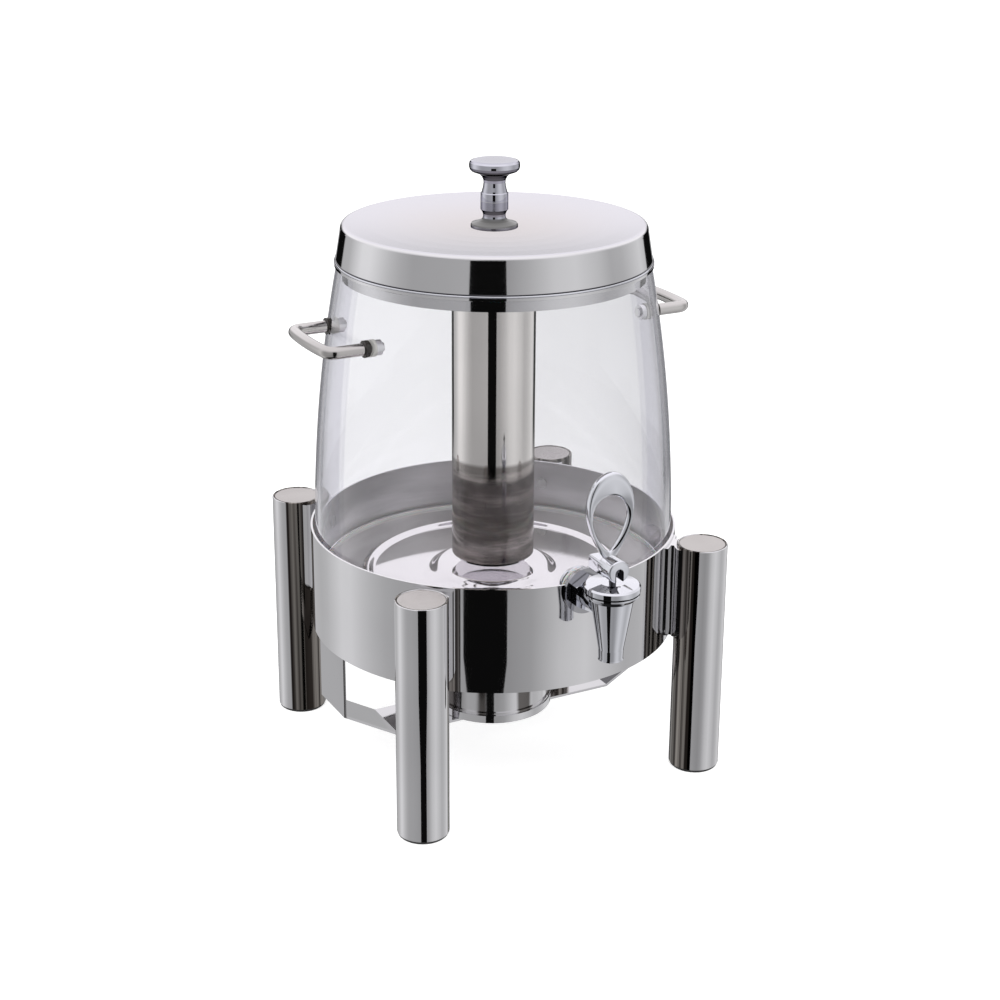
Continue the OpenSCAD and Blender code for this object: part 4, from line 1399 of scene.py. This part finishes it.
@dataclass
class Handles:
    """The two bent rods: straight posts, tight bends and a slightly bowed grip."""

    packed: Box = box_of("handle_right")
    post_start: float = 120.87
    stud_end: float = 107.5
    stud_sink: float = 2.0
    stud_radius: float = 3.0
    stud_rounding: float = 0.4
    reach: float = 149.0
    rod_steps: int = 48
    bend_radius: float = 7.0
    bow_deg: float = 6.0
    post_steps: int = 6
    bend_steps: int = 12
    bow_steps: int = 12

    @property
    def rod_radius(self) -> float:
        """The rod's radius."""
        return self.packed.size.z / 2

    @property
    def post_offset(self) -> float:
        """How far each post stands from the grip's middle."""
        return self.packed.high.y - self.rod_radius

    def path(self) -> list[Vector]:
        """Gives the rod's middle line in the plane of the grip.

        Returns:
            Points in millimetres, from one post to the other.
        """
        bow = math.radians(self.bow_deg)
        bow_radius = self.bend_radius + (self.post_offset - self.bend_radius) / math.sin(bow)
        bow_x = self.reach - bow_radius
        bend_x = bow_x + (bow_radius - self.bend_radius) * math.cos(bow)
        bend_y = self.post_offset - self.bend_radius
        half = []
        for step in range(self.post_steps):
            out = self.post_start + (bend_x - self.post_start) * step / self.post_steps
            half.append(Vector((out, self.post_offset, 0)))
        for step in range(self.bend_steps + 1):
            angle = math.pi / 2 - (math.pi / 2 - bow) * step / self.bend_steps
            out = bend_x + self.bend_radius * math.cos(angle)
            half.append(Vector((out, bend_y + self.bend_radius * math.sin(angle), 0)))
        for step in range(1, self.bow_steps):
            angle = bow * (1 - step / self.bow_steps)
            half.append(Vector((bow_x + bow_radius * math.cos(angle), bow_radius * math.sin(angle), 0)))
        mirrored = [Vector((point.x, -point.y, 0)) for point in reversed(half)]
        return half + [Vector((self.reach, 0, 0))] + mirrored

    def build_one(self, name: str, facing: float) -> bpy.types.Object:
        """Sweeps one handle with its two studs.

        Args:
            name: The node it stands for.
            facing: 1 for the right side, -1 for the left.

        Returns:
            The handle.
        """
        points = self.path()
        last = len(points) - 1
        height = self.packed.middle.z

        def place(around: float, along: float) -> Vector:
            """Gives a point of the rod's skin for shares round it and along it."""
            index = round(along * last)
            run = (points[min(index + 1, last)] - points[max(index - 1, 0)]).normalized()
            side = Vector((run.y, -run.x, 0.0))
            angle = around * math.tau
            arm = side * math.cos(angle) + Vector((0, 0, 1)) * math.sin(angle)
            spot = points[index] + arm * self.rod_radius
            return Vector((spot.x * facing, spot.y * facing, spot.z + height)) * MM

        piece = wrap(f"{name}_rod", self.rod_steps, last, place)
        studs = []
        for side in (-1, 1):
            start = Vector((self.stud_end * facing, side * self.post_offset, height))
            sunk = (self.post_start + self.stud_sink) * facing
            end = Vector((sunk, side * self.post_offset, height))
            studs.append(rod("stud", start, end, self.stud_radius, self.stud_rounding))
        combine(piece, studs, [])
        ROD_STEEL.dress(piece)
        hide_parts(name)
        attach(piece, Body.VESSEL.value)
        return piece

    def build(self) -> list[bpy.types.Object]:
        """Sweeps both handles."""
        return [self.build_one("handle_right", 1.0), self.build_one("handle_left", -1.0)]


@dataclass
class TapLever:
    """The tap's lever: a forked rocker with a block behind it and an open loop above."""

    packed: Box = box_of("tap_lever")
    pin: Box = box_of("lever_pin")
    rocker_radius: float = 8.2
    rocker_front: float = 9.0
    rocker_back: float = 7.0
    rocker_rounding: float = 1.4
    block_half: float = 7.5
    block_back: float = 21.0
    block_up: float = 4.5
    block_down: float = 6.0
    block_rounding: float = 1.2
    fork_half: float = 3.4
    fork_back: float = 4.6
    fork_top: float = 5.0
    fork_slack: float = 0.05
    fork_near: float = 10.0
    fork_middle: float = -4.0
    window_top: float = 2.5
    cut_past: float = 2.0
    pin_radius: float = 1.6
    pin_reach: float = 12.0
    loop_half: float = 17.7
    loop_side: float = 4.3
    loop_crown: float = 17.0
    loop_sole: float = 8.0
    loop_thickness: float = 6.5
    loop_back: float = 6.0
    loop_rise: float = 3.0
    loop_steps: int = 144
    foot_share: float = 0.58
    wide_share: float = 0.87
    section: tuple[Point, ...] = (
        (-1.0, 0.0), (-0.97, 0.2), (-0.88, 0.36), (-0.7, 0.52), (-0.45, 0.68), (-0.15, 0.83), (0.15, 0.94),
        (0.4, 1.0), (0.62, 0.97), (0.8, 0.86), (0.92, 0.66), (0.985, 0.38), (1.0, 0.0),
    )

    def contour(self, turned: float, half: float, low: float, high: float) -> Vector:
        """Gives a point of the loop's outline in its own plane.

        Args:
            turned: Angle round the loop from its crown.
            half: Half of the greatest width.
            low: Height of the foot.
            high: Height of the crown.

        Returns:
            The point, across and up.
        """
        narrowing = 1 - self.foot_share * ((1 - math.cos(turned)) / 2) ** 2
        across = half / self.wide_share * math.sin(turned) * narrowing
        return Vector((across, (low + high) / 2 + (high - low) / 2 * math.cos(turned)))

    def build_loop(self) -> bpy.types.Object:
        """Wraps the loop: a broad sloping face that is thick outside and thin inside.

        Returns:
            The loop.
        """
        pivot = self.pin.middle
        foot = pivot.z + self.loop_rise
        top = self.packed.high.z
        hole = (self.loop_half - self.loop_side, foot + self.loop_sole, top - self.loop_crown)
        ring = list(self.section) + [(across, -depth) for across, depth in self.section[-2:0:-1]]
        count = len(ring)

        def place(around: float, along: float) -> Vector:
            """Gives a point of the loop's skin for shares round its section and round the loop."""
            turned = along * math.tau
            outer = self.contour(turned, self.loop_half, foot, top)
            inner = self.contour(turned, *hole)
            across, depth = ring[round(around * count) % count]
            spot = inner + (outer - inner) * (across + 1) / 2
            north = pivot.y + self.loop_back - depth * self.loop_thickness / 2
            return Vector((pivot.x + spot.x, north, spot.y)) * MM

        return wrap("loop", count, self.loop_steps, place)

    def paint_fork_shade(self, piece: bpy.types.Object) -> None:
        """Paints shade on the walls inside the fork: they get the near-black metal in a second slot.
        """
        # Painted shade: faces inside the fork that look toward its middle take the near-black metal.
        piece.data.materials.append(SHADE_METAL.make())
        slack = self.fork_slack
        for face in piece.data.polygons:
            spot = face.center / MM - Vector(self.pin.middle)
            within = abs(spot.x) < self.fork_half + slack and spot.z < self.fork_top + slack
            along = slack - self.rocker_front < spot.y < self.fork_back + slack
            near = spot.to_2d().length < self.fork_near
            toward = Vector((-spot.x, 0.0, self.fork_middle - spot.z))
            if within and along and near and face.normal.dot(toward) > 0.0:
                face.material_index = 1

    def cuts(self, level: Vector) -> list[bpy.types.Object]:
        """Makes the shapes that open the fork, its front window and the pin's hole.

        Args:
            level: The pivot's middle.

        Returns:
            The shapes to take away.
        """
        half = self.fork_half
        deep = -self.rocker_radius - self.cut_past
        front = -self.rocker_front - self.cut_past
        arch = self.window_top - half
        side = Vector((self.pin_reach, 0, 0))
        return [
            block("fork", level + Vector((-half, -self.fork_back, deep)),
                  level + Vector((half, self.fork_back, self.fork_top))),
            block("window", level + Vector((-half, front, deep)), level + Vector((half, 0, arch))),
            rod("arch", level + Vector((0, front, arch)), level + Vector((0, 0, arch)), half),
            rod("pin_hole", level - side, level + side, self.pin_radius),
        ]

    def build(self) -> list[bpy.types.Object]:
        """Builds the rocker and the block, cuts the fork and adds the loop.

        Returns:
            The lever alone.
        """
        level = Vector(self.pin.middle)
        back = level + Vector((0, self.rocker_back, 0))
        front = level - Vector((0, self.rocker_front, 0))
        piece = rod("tap_rocker", back, front, self.rocker_radius, self.rocker_rounding)
        low = level - Vector((self.block_half, 0, self.block_down))
        high = level + Vector((self.block_half, self.block_back, self.block_up))
        rear = block("rear", low, high, self.block_rounding)
        combine(piece, [rear, self.build_loop()], self.cuts(level))
        BRIGHT_CHROME.dress(piece)
        self.paint_fork_shade(piece)
        piece.visible_glossy = False
        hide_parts("tap_lever")
        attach(piece, Body.LEVER.value)
        return [piece]


@dataclass
class InnerNut:
    """The tap's round flanged nut inside the barrel."""

    packed: Box = box_of("tap_inner_nut")
    front: float = -130.5
    back: float = -123.5
    radius: float = 13.8
    waist: float = 11.6
    bore: float = 7.75
    flange: float = 3.0
    chamfer: float = 0.8
    steps: int = 96

    def build(self) -> list[bpy.types.Object]:
        """Turns the nut and lays its axis level.

        Returns:
            The nut alone.
        """
        deep = self.back - self.front
        outline = [
            (self.bore, 0.0),
            (self.radius - self.chamfer, 0.0),
            (self.radius, self.chamfer),
            (self.radius, self.flange - self.chamfer),
            (self.radius - self.chamfer, self.flange),
            (self.waist, self.flange),
            (self.waist, deep - self.chamfer),
            (self.waist - self.chamfer, deep),
            (self.bore, deep),
        ]
        piece = turn("inner_flange_nut", outline, self.steps)
        level = Matrix.Translation(Vector((0.0, self.front, self.packed.middle.z)) * MM)
        piece.data.transform(level @ Matrix.Rotation(math.radians(-90.0), 4, "X"))
        BRIGHT_CHROME.dress(piece)
        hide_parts("tap_inner_nut")
        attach(piece, Body.VESSEL.value)
        return [piece]


@dataclass
class LidHem:
    """The rolled hem at the foot of the lid's side, with a dark ring of painted seam shadow under it and
    one above.
    """

    hem: Point = (116.7, 388.3)
    hem_radius: float = 0.9
    seam_shadow: Point = (117.25, 386.6)
    seam_shadow_radius: float = 0.55
    upper_seam_shadow: Point = (116.75, 389.6)
    upper_seam_shadow_radius: float = 0.42
    steps: int = 12

    def build(self) -> list[bpy.types.Object]:
        """Turns the hem and the rings of painted seam shadow.

        Returns:
            The hem and both rings of painted seam shadow.
        """
        pieces = []
        # Painted shadow: two near-black rings stand in for the shade in the seams under and above the hem.
        for name, middle, radius, finish in (
            ("lid_hem", self.hem, self.hem_radius, BRIGHT_CHROME),
            ("lid_seam_shadow", self.seam_shadow, self.seam_shadow_radius, SHADE_METAL),
            ("lid_upper_seam_shadow", self.upper_seam_shadow, self.upper_seam_shadow_radius, SHADE_METAL),
        ):
            out, height = middle
            outline = []
            for step in range(self.steps):
                angle = math.tau * step / self.steps
                outline.append((out + radius * math.cos(angle), height + radius * math.sin(angle)))
            piece = turn(name, outline)
            finish.dress(piece)
            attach(piece, Body.LID.value)
            pieces.append(piece)
        return pieces


def dress_nodes(frame: dict) -> None:
    """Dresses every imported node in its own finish, or in the finish of its material slot.
    """
    for part in frame["record"]["subparts"]:
        piece = frame["nodes"][part["node"]]
        finish = FINISH_BY_NODE.get(part["node"], FINISH_BY_SLOT[part["material_slot"]])
        finish.dress(piece)
        piece.visible_glossy = part["node"] not in NOT_MIRRORED
        LOG.info("dressed %s in %s", part["node"], finish.name)


def main() -> None:
    """Builds the studio and every piece."""
    logging.basicConfig(level=logging.INFO, format="%(message)s")
    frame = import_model()
    Studio().build()
    dress_nodes(frame)
    for assembly in (Barrel(), FloorPan(), Handles(), TapLever(), InnerNut(), LidHem()):
        for piece in assembly.build():
            LOG.info("%s built %s", type(assembly).__name__, piece.name)


if __name__ == "__main__":
    main()
